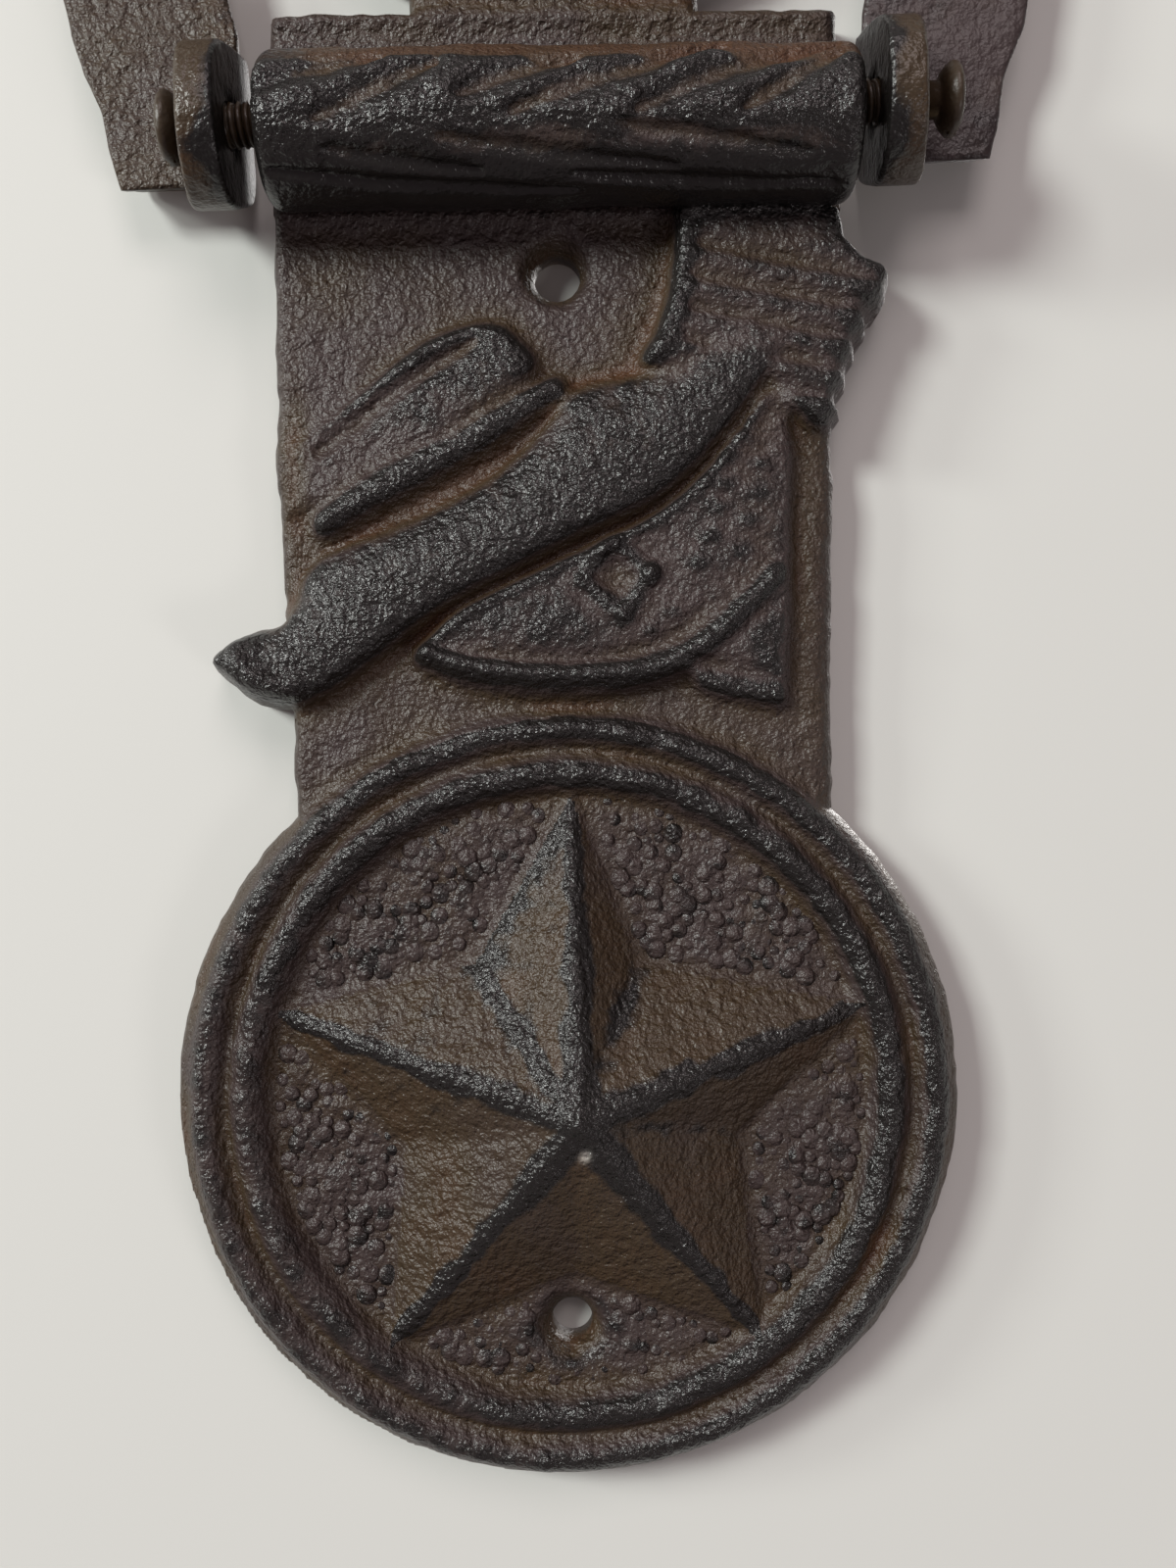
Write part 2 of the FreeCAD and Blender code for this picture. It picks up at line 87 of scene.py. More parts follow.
# %% Noise
def lattice_noise(x, y, cell, seed):
    """Smooth noise from -1 to 1 with lumps about as wide as cell."""
    table = np.random.default_rng(seed).uniform(-1, 1, (256, 256))
    column, row = np.floor(x / cell).astype(int), np.floor(y / cell).astype(int)
    across, up = x / cell - column, y / cell - row
    across, up = across * across * (3 - 2 * across), up * up * (3 - 2 * up)
    low = table[column % 256, row % 256] * (1 - across)
    low = low + table[(column + 1) % 256, row % 256] * across
    high = table[column % 256, (row + 1) % 256] * (1 - across)
    high = high + table[(column + 1) % 256, (row + 1) % 256] * across
    return low * (1 - up) + high * up


def cast_skin(x, y, seed, strength=1.0):
    """Lumps of a sand casting's skin, in millimetres."""
    skin = 0.10 * lattice_noise(x, y, 5.0, seed)
    skin = skin + 0.055 * lattice_noise(x, y, 1.7, seed + 1)
    skin = skin + 0.050 * lattice_noise(x, y, 0.8, seed + 2)
    return skin * strength


sample = cast_skin(*np.mgrid[0:40:0.5, 0:40:0.5], 21)
print("the skin's lumps run from", round(sample.min(), 2), "to", round(sample.max(), 2), "mm")

# %% [markdown]
# ## How rubbed, how rusty, and where shade is painted
# Handling rubs the iron black on whatever stands proud, and leaves brown in what lies low. This
# could be painted by hand as vertex colours. Worked out from the shape it follows every change of
# the shape: a point stands proud when it is above the average of the face around it. Four numbers
# on each point of a mesh say how rubbed, how rusty, how bare of paint and how grainy the iron is
# there, and the paint reads them. The rubbed number also carries painted shade: on the barrel's
# underside and on the lugs' faces towards the barrel, its black stands in for shade, not wear.

# %% Wear and rust
def soften(field, rounds):
    """Average each value of a grid with its four neighbours, several times over."""
    for _ in range(rounds):
        field = 0.2 * (field + np.roll(field, 1, 0) + np.roll(field, -1, 0)
                       + np.roll(field, 1, 1) + np.roll(field, -1, 1))
    return field


def bump(x, z, place, reach):
    """Soft round spot, 1 in its middle."""
    return np.exp(-((x - place[0]) ** 2 + (z - place[1]) ** 2) / reach ** 2)


def store_paint(piece, wear_and_shade, rust, bare=0.0, grain=1.0):
    """Store how rubbed, with painted shade, how rusty, how bare of paint and how grainy each point is,
    from 0 to 1.
    """
    count = len(piece.data.vertices)
    for name, values in (("wear_and_shade", wear_and_shade), ("rust", rust), ("bare", bare), ("grain", grain)):
        layer = piece.data.attributes.new(name, "FLOAT", "POINT")
        values = np.clip(values, 0, 1) + np.zeros(count)
        layer.data.foreach_set("value", values.astype(np.float32))


# %% [markdown]
# ## From points to a piece
# Every hand-made mesh below ends the same way: a list of points in millimetres and a list of faces
# become a smooth object at the origin. One helper does that, and a second reads the points back
# when the paint needs to know where they are.

# %% Making a piece
def new_piece(name, points, faces):
    """Smooth mesh object from points in millimetres."""
    mesh = bpy.data.meshes.new(name)
    mesh.from_pydata((points * MM).tolist(), [], faces)
    mesh.shade_smooth()
    piece = bpy.data.objects.new(name, mesh)
    bpy.context.scene.collection.objects.link(piece)
    print(name, len(mesh.vertices), "points and", len(mesh.polygons), "faces")
    return piece


def points_of(piece):
    """Points of a piece in millimetres."""
    return np.array([vertex.co for vertex in piece.data.vertices]) / MM


# %% [markdown]
# ## Drawing with strokes
# Low relief is easiest to think of as clay: a few outlines filled to a height, ridges rolled along
# a line and grooves pressed in with a stick. Each helper below works on whole arrays of points, so
# one call shapes the entire face at once.

# %% Distances and outlines
def smooth_line(points, closed=False, steps=6):
    """Curve through a few points, as a denser list of points (Catmull and Rom's spline)."""
    points = [np.array(point, float) for point in points]
    count = len(points)
    line = []
    for index in range(count if closed else count - 1):
        pick = [(index + shift) % count if closed else min(max(index + shift, 0), count - 1)
                for shift in (-1, 0, 1, 2)]
        before, start, end, after = (points[i] for i in pick)
        for step in range(steps):
            t = step / steps
            line.append(0.5 * (
                2 * start + (end - before) * t
                + (2 * before - 5 * start + 4 * end - after) * t ** 2
                + (3 * start - before - 3 * end + after) * t ** 3))
    if not closed:
        line.append(points[-1])
    return np.array(line)


def line_distance(x, z, line, closed=False):
    """Distance to a line, and the share of the way along it where the nearest point lies."""
    ends = np.roll(line, -1, axis=0) if closed else line[1:]
    starts = line if closed else line[:-1]
    best = np.full(x.shape, 1e9)
    along = np.zeros(x.shape)
    for index, (start, end) in enumerate(zip(starts, ends)):
        step = end - start
        t = ((x - start[0]) * step[0] + (z - start[1]) * step[1]) / max(step @ step, 1e-12)
        t = np.clip(t, 0, 1)
        gap = np.hypot(x - start[0] - t * step[0], z - start[1] - t * step[1])
        nearer = gap < best
        best = np.where(nearer, gap, best)
        along = np.where(nearer, (index + t) / len(starts), along)
    return best, along


def inside(x, z, line):
    """True for points inside a closed line."""
    found = np.zeros(x.shape, bool)
    for (x1, z1), (x2, z2) in zip(line, np.roll(line, -1, axis=0)):
        if z1 == z2:
            continue
        crossing = (x2 - x1) * (z - z1) / (z2 - z1) + x1
        found ^= ((z1 > z) != (z2 > z)) & (x < crossing)
    return found


def signed_distance(x, z, line):
    """Distance to a closed line, negative inside it."""
    gap, _ = line_distance(x, z, line, closed=True)
    return np.where(inside(x, z, line), -gap, gap)


def rounded(depth, width):
    """Quarter round from 0 at an edge to 1 at width in from it."""
    t = np.clip(depth / width, 0, 1)
    return np.sqrt(1 - (1 - t) ** 2)


def ridge(x, z, points, radius, height, taper=0.0):
    """Half round ridge along a curve. taper is how much thinner it gets towards both ends."""
    gap, along = line_distance(x, z, smooth_line(points))
    reach = radius * (1 - taper * np.abs(2 * along - 1) ** 2)
    return height * np.sqrt(np.clip(1 - (gap / reach) ** 2, 0, 1))


def groove(x, z, points, radius, depth, taper=0.6):
    """Soft groove along a curve, as a height below zero."""
    gap, along = line_distance(x, z, smooth_line(points))
    reach = radius * (1 - taper * np.abs(2 * along - 1) ** 2)
    t = np.clip(gap / reach, 0, 1)
    return -depth * (1 - t * t * (3 - 2 * t))


# %% [markdown]
# ## The star
# Ten flat facets meet in one top point, which sits a little off the middle on this casting. They
# could be ten triangles drawn by hand. As heights they blend with the rough skin and the rings round
# them: on a triangle the height is a plain weight, 1 at the top point and 0 on the outline.

# %% Star facets
STAR_RISE = 8.6
STAR_FOOT = 0.75
STAR_TOP = np.array([1.2, -29.0])
STAR_OUTLINE = np.array([
    (0.6, 0.2), (-8.6, -15.4), (-27.4, -19.9), (-15.4, -32.2), (-17.0, -51.2),
    (0.4, -44.6), (17.8, -50.9), (15.7, -31.8), (28.0, -19.8), (6.6, -15.8)])


def star_height(x, z, corners, top, rise):
    """Height of the star's facets over its foot, 0 outside it."""
    height = np.zeros(x.shape)
    for start, end in zip(corners, np.roll(corners, -1, axis=0)):
        first, second = start - top, end - top
        area = first[0] * second[1] - first[1] * second[0]
        u = ((x - top[0]) * second[1] - (z - top[1]) * second[0]) / area
        v = (first[0] * (z - top[1]) - first[1] * (x - top[0])) / area
        weight = 1 - u - v
        hit = (u >= -1e-6) & (v >= -1e-6) & (weight > 0)
        height = np.where(hit, rise * weight, height)
    return height


# %% [markdown]
# ## The boots
# Two boots lie across the plate. The rear one runs from a toe that hangs over the left edge up to
# a ribbed cuff that hangs over the right edge. The front one has a sole, a heel, a buckle and a row
# of stitches. Each is a filled outline whose edges are rounded more on one side than on the other,
# and then ridges and grooves are added on top.

# %% Boot outlines
REAR_UPPER = [(-32.8, 14.2), (-30.6, 16.0), (-27.0, 16.9), (-24.9, 18.9), (-23.9, 21.6),
              (-20.6, 23.9), (-15.6, 25.7), (-10.4, 28.0), (-5.2, 31.2), (-1.4, 35.0),
              (0.6, 38.0), (3.0, 38.9), (6.8, 39.6), (11.0, 42.0), (16.0, 45.6)]
REAR_LOWER = [(-32.4, 12.2), (-29.6, 9.8), (-25.2, 8.9), (-20.9, 10.8), (-15.9, 14.4),
              (-11.2, 17.6), (-4.8, 21.0), (0.8, 23.9), (4.6, 25.6), (9.2, 27.8),
              (13.4, 31.2), (17.0, 35.4), (21.0, 40.6)]
FRONT_UPPER = [(-13.7, 13.7), (-12.0, 15.9), (-8.6, 18.4), (-4.0, 20.6), (1.0, 22.9),
               (5.4, 24.9), (9.6, 27.1), (13.6, 30.6), (16.8, 34.6), (19.8, 38.0)]
SOLE_EDGE = [(-13.6, 12.8), (-10.4, 11.2), (-6.6, 10.2), (-1.2, 9.5), (4.4, 9.6),
             (9.0, 10.6), (11.6, 11.4), (13.0, 9.9), (15.6, 9.1), (20.8, 8.2)]
WELT = [(-13.0, 13.8), (-10.2, 12.9), (-6.8, 12.1), (-1.2, 11.5), (4.4, 11.5), (8.6, 12.1),
        (11.4, 13.1), (14.4, 15.2), (17.4, 18.0), (20.2, 20.8)]
HEEL_TOP = [(11.6, 13.0), (15.6, 12.0), (20.8, 10.6)]
BACK_SEAM = [(21.4, 8.4), (21.7, 16.0), (21.8, 26.0), (21.5, 34.0), (20.6, 38.0)]
CUFF = [(10.9, 55.6), (10.9, 51.0), (10.4, 47.2), (9.2, 43.6), (7.4, 40.6), (10.0, 39.8),
        (14.5, 41.4), (19.0, 40.0), (21.0, 36.5), (23.5, 34.6), (25.6, 34.4), (26.9, 35.8),
        (26.6, 37.4), (27.6, 38.4), (27.5, 40.2), (28.4, 41.2), (28.3, 42.6), (29.4, 43.5),
        (29.2, 44.8), (30.6, 45.6), (31.4, 47.2), (31.9, 49.0), (31.2, 50.1), (29.4, 51.0),
        (27.6, 52.6), (27.0, 55.6)]
LOBE = [(-27.4, 32.0), (-24.0, 34.6), (-20.4, 37.2), (-16.5, 40.3), (-12.8, 43.1), (-8.6, 44.8),
        (-5.4, 44.8), (-3.0, 43.0), (-1.8, 40.8), (-3.4, 38.6), (-8.2, 35.4), (-13.9, 31.8),
        (-20.6, 28.6), (-27.4, 26.4)]
STITCHES = [(17.6, 33.4), (15.9, 31.6), (18.6, 31.0), (15.6, 29.2), (18.4, 28.2), (14.8, 26.8),
            (17.6, 25.6), (14.2, 24.2), (16.8, 22.8), (13.0, 21.8), (10.4, 17.2), (8.2, 15.6)]

rear_line = smooth_line(REAR_LOWER + REAR_UPPER[::-1], closed=True)
toe_line = smooth_line([(-33.2, 13.0)] + REAR_UPPER[:5] + [(-20.0, 16.0)] + REAR_LOWER[:4][::-1],
                       closed=True)
cuff_line = np.array(CUFF)
print("boot outlines:", len(rear_line), "and", len(cuff_line), "points")


# %% Boot relief
def slab(x, z, line, height, width):
    """Filled outline with a quarter round edge."""
    return height * rounded(-signed_distance(x, z, line), width)


def rolled(x, z, upper, lower, height):
    """Bar between two curves: a wide soft upper flank, a full top and a tight lower edge."""
    to_upper, _ = line_distance(x, z, smooth_line(upper))
    to_lower, _ = line_distance(x, z, smooth_line(lower))
    share = to_upper / np.maximum(to_upper + to_lower, 1e-6)
    flank = rounded(share + 0.04, 0.72)
    fall = 1 - 0.22 * np.clip((share - 0.72) / 0.28, 0, 1) ** 2
    return height * flank * fall * rounded(to_lower, 0.9)


def lobes(x, z):
    """The lobe that runs out to the left edge, with its crease, and the finger below it."""
    lobe = slab(x, z, smooth_line(LOBE, closed=True), 2.1, 1.5)
    lobe = lobe * np.clip((x + 29) / 13, 0.25, 1)
    lobe = lobe + (lobe > 0.2) * groove(
        x, z, [(-23.0, 32.8), (-19.0, 35.8), (-14.2, 39.2), (-7.6, 43.0)], 1.5, 1.3)
    lobe = lobe - 0.8 * (lobe > 0.2) * bump(x, z, (-17.0, 32.6), 4.2)
    finger = ridge(x, z, [(-22.0, 26.2), (-17.6, 29.0), (-11.6, 32.2), (-5.6, 35.5),
                          (-0.4, 38.4)], 2.05, 2.2, 0.3)
    return np.maximum(np.maximum(lobe, finger), 0)


def cuff_relief(x, z):
    """Ribbed top of the boots."""
    cuff = slab(x, z, cuff_line, 2.9, 0.8)
    on_cuff = cuff > 0.3
    for rise in (51.6, 48.6, 45.6, 42.6, 39.6):
        rib = [(12.6, rise), (17.0, rise - 0.9), (23.0, rise - 2.1), (31.5, rise - 4.0)]
        cuff = cuff + on_cuff * groove(x, z, rib, 0.8, 0.8, 0.1)
        cuff = cuff + on_cuff * 0.25 * np.exp(-((z - rise + 1.0 + 0.21 * (x - 12.6)) / 0.5) ** 2)
    rim = ridge(x, z, [(12.2, 54.8), (12.0, 50.4), (11.3, 46.8), (10.0, 43.4), (8.8, 41.0)],
                1.4, 0.45, 0.1)
    return cuff + rim * on_cuff * (1 + 0.8 * lattice_noise(x, z, 1.3, 71))


# %% Front boot and the whole relief
def front_boot(x, z):
    """The boot with a sole, a heel, a buckle and a row of stitches."""
    outline = FRONT_UPPER + [(21.9, 36.0), (21.8, 20.0), (21.2, 8.3)] + SOLE_EDGE[::-1]
    body = slab(x, z, smooth_line(outline, closed=True), 1.75, 0.7)
    inside_boot = body > 0.5
    swell = 0.95 * np.exp(-(((x + 2.5) / 8.5) ** 2 + ((z - 16.6) / 4.0) ** 2))
    swell = swell + 0.5 * np.exp(-(((x - 13.5) / 5.0) ** 2 + ((z - 25.0) / 8.0) ** 2))
    swell = swell + 0.4 * bump(x, z, (18.0, 14.6), 2.6)
    front = body + inside_boot * swell
    for line, radius, height in ((FRONT_UPPER, 1.2, 1.0), (WELT, 1.1, 1.25),
                                 (SOLE_EDGE[1:7], 0.9, 0.3)):
        front = front + (body > 0.25) * ridge(x, z, line, radius, height, 0.25)
    front = front + inside_boot * groove(
        x, z, [(-11.6, 14.2), (-6.0, 13.3), (0.0, 13.2), (6.0, 13.6), (10.6, 15.2),
               (14.0, 18.0)], 0.8, 0.55)
    front = front + (body > 0.3) * groove(
        x, z, [(-9.6, 11.6), (-4.0, 10.5), (4.0, 10.4), (10.0, 11.6)], 0.5, 0.4)
    front = front + (body > 0.3) * groove(x, z, HEEL_TOP, 0.8, 0.6, 0.2)
    buckle = [(1.9, 20.6), (4.9, 24.0), (8.6, 20.9), (6.0, 17.0)]
    for start, end in zip(buckle, buckle[1:] + buckle[:1]):
        rough = 1 + 0.6 * lattice_noise(x, z, 1.6, 72)
        front = front + ridge(x, z, [start, end], 0.75, 0.75) * rough
    front = front - 0.4 * bump(x, z, (5.3, 20.6), 1.2)
    for place in STITCHES:
        front = front + 0.6 * np.exp(-np.hypot((x - place[0]) / 1.0, (z - place[1]) / 0.55) ** 2)
    return front


def boot_relief(x, z):
    """Height of the boots and the lobes beside them over the plate's flat."""
    lobe, cuff, front = lobes(x, z), cuff_relief(x, z), front_boot(x, z)
    rear = np.where(inside(x, z, rear_line), rolled(x, z, REAR_UPPER, REAR_LOWER, 3.2), 0)
    rear = rear + (rear > 0.6) * ridge(
        x, z, [(-30.6, 14.8), (-29.6, 12.6), (-27.2, 11.0), (-24.4, 10.6)], 1.0, 0.6, 0.4)
    height = np.where(front > 0.05, front, lobe)
    height = np.where(rear > 0.05, np.maximum(rear, lobe * 0.6), height)
    return np.where(cuff > 0.6, np.maximum(cuff, height), height)


# %% [markdown]
# ## The faces of the plate
# The casting is too detailed for modelling by hand and too regular for sculpting, so it is a height
# field: for each point of the face, how far it stands out from the door. The boss and the upper
# plate are two meshes that meet under the outer ridge, which keeps each of them light.

# %% Outlines and heights
EDGE_HEIGHT = 2.2
RINGS = ((34.3, 1.8, 2.1), (30.3, 2.0, 2.35))


def rough_edge(x, z, seed):
    """How far the sand has left the outline in or out, in millimetres."""
    return 0.20 * lattice_noise(x, z, 3.2, seed) + 0.13 * lattice_noise(x, z, 1.2, seed + 1)


def ring_relief(x, z):
    """The two round ridges of the boss."""
    reach = np.hypot(x - DISC[0], z - DISC[1])
    angle = np.arctan2(z - DISC[1], x - DISC[0])
    wander = 0.22 * np.sin(2 * angle + 0.6) + 0.16 * np.sin(3 * angle + 2.0)
    height = np.zeros(x.shape)
    lump = 1 + 0.12 * lattice_noise(x, z, 3.0, 81) + 0.10 * lattice_noise(x, z, 1.3, 82)
    for radius, half, rise in RINGS:
        gap = np.abs(reach - radius - wander * 0.6) / half
        height = np.maximum(height, rise * lump * np.clip(1 - gap ** 2, 0, 1) ** 0.65)
    return height


# %% Boss outline, face and paint
def disc_edge(x, z):
    """Signed distance to the boss's outline, which sand and fettling left a little low and wide."""
    angle = np.arctan2(z - DISC[1], x - DISC[0])
    reach = DISC_RADIUS - 0.4 + 0.4 * np.cos(2 * angle)
    reach = reach + 0.6 * np.exp(-((angle + 2.23) / 0.6) ** 2)
    return np.hypot(x - DISC[0], z - DISC[1]) - reach + 0.6 * rough_edge(x, z, 11)


def hole_edge(x, z, rise, radius):
    """Signed distance to the iron round one fixing hole."""
    return radius - np.hypot(x, z - rise)


def sink(x, z, rise):
    """How deep the countersink cuts under the face."""
    return np.clip(3.45 - np.hypot(x + 0.1, z - rise), 0, 1.6) * 1.25


def disc_face(x, z):
    """Front of the round boss, before the sand's skin is added."""
    reach = np.hypot(x - DISC[0], z - DISC[1])
    star = star_height(x, z, STAR_OUTLINE, STAR_TOP, STAR_RISE)
    depth = -signed_distance(x, z, STAR_OUTLINE)
    star = star + STAR_FOOT * rounded(depth + 0.5, 1.0)
    floor = FACE - 0.15 + np.zeros(x.shape)
    grit = np.clip(0.5 + lattice_noise(x, z, 1.25, 85), 0, 1) * (reach < 27.6) * (depth < -0.8)
    height = floor + np.maximum(ring_relief(x, z), star)
    crease = ridge(x, z, [STAR_OUTLINE[1], STAR_TOP], 0.9, 0.4) * (depth > 0.3)
    height = height + crease + 0.35 * grit - 0.7 * bump(x, z, (1.6, -31.6), 0.5)
    return height - sink(x, z, -HOLE_REACH)


def disc_paint(x, z, proud):
    """How rubbed, how rusty and how bare the boss is."""
    reach = np.hypot(x - DISC[0], z - DISC[1])
    on_star = star_height(x, z, STAR_OUTLINE, STAR_TOP, 1.0) > 0
    gap = np.full(x.shape, 1e9)
    for tip in STAR_OUTLINE[::2]:
        gap = np.minimum(gap, line_distance(x, z, np.array([tip, STAR_TOP]))[0])
    thick = 1.7 - 0.035 * np.hypot(x - STAR_TOP[0], z - STAR_TOP[1])
    gap = gap + 0.45 * lattice_noise(x, z, 2.6, 95) + 0.2 * lattice_noise(x, z, 1.0, 96)
    creases = np.zeros(x.shape)
    for ends, width, amount in (((STAR_OUTLINE[1], STAR_TOP), 0.9, 0.8),
                                ((STAR_OUTLINE[9], STAR_TOP), 1.6, 0.45),
                                ((STAR_OUTLINE[0], STAR_OUTLINE[1]), 1.5, 0.5),
                                ((STAR_OUTLINE[7], STAR_TOP), 1.2, 0.3)):
        beside, _ = line_distance(x, z, np.array(ends))
        creases = np.maximum(creases, amount * np.exp(-(beside / width) ** 2))
    spots = 0.14 + 0.20 * lattice_noise(x, z, 1.1, 94)
    spots = spots + 0.16 * (x < STAR_TOP[0]) * (z > STAR_TOP[1])
    rubbed = np.maximum(np.clip(1.2 - 0.7 * gap / thick, 0, 1), creases + spots)
    side_turn = np.arctan2(z - DISC[1], x - DISC[0])
    ring_share = 0.75 - 0.5 * np.clip(-np.cos(side_turn - 0.4), 0, 1)
    wear_and_shade = np.where(on_star, rubbed, 0.34 + ring_share * proud)
    patchy = 0.5 + 0.5 * lattice_noise(x, z, 6.0, 97)
    rust = np.where(on_star, 0.40 + 0.18 * patchy, 0.06 + 0.30 * patchy - 0.35 * proud)
    rust = rust + 0.4 * bump(x, z, (26.6, -42.5), 3.5) + 0.2 * (reach > 35.5) * patchy
    rust = rust + 0.3 * bump(x, z, (0, -HOLE_REACH), 2.6)
    bare = 0.9 * bump(x, z, (1.5, -32.0), 0.42)
    turn = np.degrees(np.arctan2(z - DISC[1], x - DISC[0]))
    chipped = (reach > 36.2) * np.clip(1 - np.abs(turn - 38) / 16, 0, 1)
    return wear_and_shade, rust, bare + 0.8 * chipped


# %% Outline of the upper plate
def neck_and_shoulder(x, z):
    """Signed distance to the strip, shoulder and neck together."""
    half = np.interp(z, [0, 14, 40, 56], [25.6, 25.9, 26.2, 26.4])
    left = np.interp(z, [0, 14, 30, 56], [0.0, 0.3, 1.0, 0.6])
    strip = np.maximum(np.maximum(x - half, -x - half - left), np.maximum(z - 70.0, -4.0 - z))
    shoulder = np.maximum(np.abs(x) - 27.2, np.maximum(z - 75.1, 56.0 - z))
    neck = np.maximum(np.abs(x) - 13.8, np.maximum(z - 83.0, 70.0 - z))
    return np.minimum(np.minimum(strip, shoulder), neck)


brim_line = smooth_line([(-25.2, 88.2), (-21.0, 82.6), (-13.0, 77.9), (-4.0, 75.9), (5.0, 76.1),
                         (13.5, 78.3), (21.0, 82.8), (25.2, 88.2), (18.5, 86.9), (12.0, 85.6),
                         (0.0, 84.9), (-12.0, 85.6), (-18.5, 86.9)], closed=True)
crown_line = smooth_line([(-12.0, 81.2), (-6.0, 79.4), (0.0, 78.9), (6.0, 79.4), (12.0, 81.2),
                          (11.6, 90.0), (10.7, 98.0), (9.9, 103.6), (7.4, 106.6), (4.0, 106.9),
                          (0.0, 104.6), (-4.0, 106.9), (-7.4, 106.6), (-9.9, 103.6),
                          (-10.7, 98.0), (-11.6, 90.0)], closed=True)


def plate_edge(x, z):
    """Signed distance to the upper plate's outline, from the boss up to the hat."""
    edge = neck_and_shoulder(x, z)
    for line in (brim_line, crown_line, toe_line, cuff_line):
        edge = np.minimum(edge, signed_distance(x, z, line))
    above_boss = 34.1 - np.hypot(x - DISC[0], z - DISC[1])
    return np.maximum(edge + rough_edge(x, z, 31), above_boss)


# %% Face and paint of the upper plate
def hat_relief(x, z):
    """Height of the hat over the flat."""
    brim = np.clip(-signed_distance(x, z, brim_line), 0, None)
    brim = 1.5 * rounded(brim, 1.3)
    roll = ridge(x, z, [(-24.0, 87.4), (-19.8, 83.4), (-12.0, 79.3), (0.0, 77.4), (12.0, 79.5),
                        (19.8, 83.5), (24.0, 87.4)], 1.2, 0.8, 0.3) * (brim > 0)
    crown = np.clip(-signed_distance(x, z, crown_line), 0, None)
    crown = 4.3 * rounded(crown, 5.5)
    crown = crown + (crown > 1) * groove(x, z, [(0.0, 106.0), (-0.4, 101.0), (0.2, 95.0)], 3.0, 1.3)
    crown = crown + (crown > 1) * groove(x, z, [(-8.0, 103.0), (-6.0, 96.0)], 2.0, 0.6)
    crown = crown + (crown > 1) * groove(x, z, [(8.0, 103.0), (6.0, 96.0)], 2.0, 0.6)
    band = ridge(x, z, [(-11.8, 85.2), (-6.0, 83.2), (0.0, 82.6), (6.0, 83.2), (11.8, 85.2)],
                 1.3, 0.7) * (crown > 0.5)
    return np.maximum(brim + roll, crown + band)


def plate_face(x, z):
    """Front of the upper plate, before the sand's skin is added."""
    height = FACE + np.maximum(boot_relief(x, z), hat_relief(x, z))
    fillet = np.clip(2.0 - np.abs(np.abs(z - BARREL_RISE) - 5.6), 0, 2) ** 2 * 0.22
    height = height + fillet * (np.abs(x) < 26.8)
    height = np.maximum(height, FACE - 0.15 + ring_relief(x, z) * (z < 12))
    height = height + 0.6 * np.exp(-((z - 74.0) / 0.9) ** 2) * (np.abs(x) < 27)
    return height - sink(x, z, HOLE_REACH)


def plate_paint(x, z, proud):
    """How rubbed, how rusty and how bare the upper plate is."""
    depth = -plate_edge(x, z)
    wear_and_shade = 0.18 + 0.65 * proud * np.clip(depth / 1.6, 0, 1) + 0.13 * boot_relief(x, z)
    from_seam, _ = line_distance(x, z, smooth_line(BACK_SEAM))
    wear_and_shade = wear_and_shade - 0.35 * np.exp(-(from_seam / 1.3) ** 2)
    wear_and_shade = wear_and_shade - 0.22 * rounded(-signed_distance(x, z, cuff_line), 1.5)
    patchy = 0.5 + 0.5 * lattice_noise(x, z, 7.0, 98)
    rust = 0.05 + 0.32 * patchy - 0.45 * proud
    rust = rust + 0.5 * np.exp(-((x + 25.0) / 1.3) ** 2 - ((z - 31.0) / 9.0) ** 2)
    for line, width, amount in (([(-1.0, 36.6), (3.0, 39.6), (8.0, 40.4)], 1.2, 0.3),
                                ([(11.4, 54.0), (11.4, 47.0), (8.8, 41.0)], 1.2, 0.10),
                                ([(24.6, 34.0), (23.6, 22.0), (23.6, 8.0)], 1.4, 0.14),
                                ([(-26.0, 16.0), (-24.0, 22.0), (-18.0, 25.4)], 1.2, 0.15),
                                ([(-24.0, 74.6), (24.0, 74.6)], 2.6, 0.25)):
        gap, _ = line_distance(x, z, smooth_line(line))
        rust = rust + amount * np.exp(-(gap / width) ** 2)
    rust = rust + 0.6 * bump(x, z, (-0.6, HOLE_REACH), 3.0)
    return wear_and_shade - 0.3 * bump(x, z, (0, HOLE_REACH), 3.6), rust, 0 * x


# %% [markdown]
# ## From heights to a closed mesh
# A square grid is laid over the outline. Points on its rim slide along the slope of the distance
# field until they lie on the outline, so the edge is smooth and not a staircase. The front, the back
# and a wall between their rims make one closed skin, with every face looking outwards.

# %% Outline and shell
LEAST_THICK = 0.8


def snap_to_outline(edge, x, z, rim, step):
    """Move the grid's rim points onto the outline, along the slope of its distance."""
    reach = 0.05
    for _ in range(3):
        rim_x, rim_z = x[rim], z[rim]
        value = edge(rim_x, rim_z)
        slope_x = (edge(rim_x + reach, rim_z) - edge(rim_x - reach, rim_z)) / (2 * reach)
        slope_z = (edge(rim_x, rim_z + reach) - edge(rim_x, rim_z - reach)) / (2 * reach)
        size = np.maximum(slope_x ** 2 + slope_z ** 2, 0.3)
        move = np.clip(value / size, -step, step)
        x[rim], z[rim] = rim_x - slope_x * move, rim_z - slope_z * move


def shell_faces(number, cells, count):
    """Front faces, back faces and the walls that join them round every outline."""
    columns, rows = np.nonzero(cells)
    corner = [number[columns, rows], number[columns + 1, rows],
              number[columns + 1, rows + 1], number[columns, rows + 1]]
    front = np.column_stack(corner)
    rear = np.column_stack(corner[::-1]) + count
    edges = {(start, end) for quad in front for start, end in zip(quad, np.roll(quad, -1))}
    walls = sorted((end, start, start + count, end + count)
                   for start, end in edges if (end, start) not in edges)
    return np.vstack([front, rear, np.array(walls)])


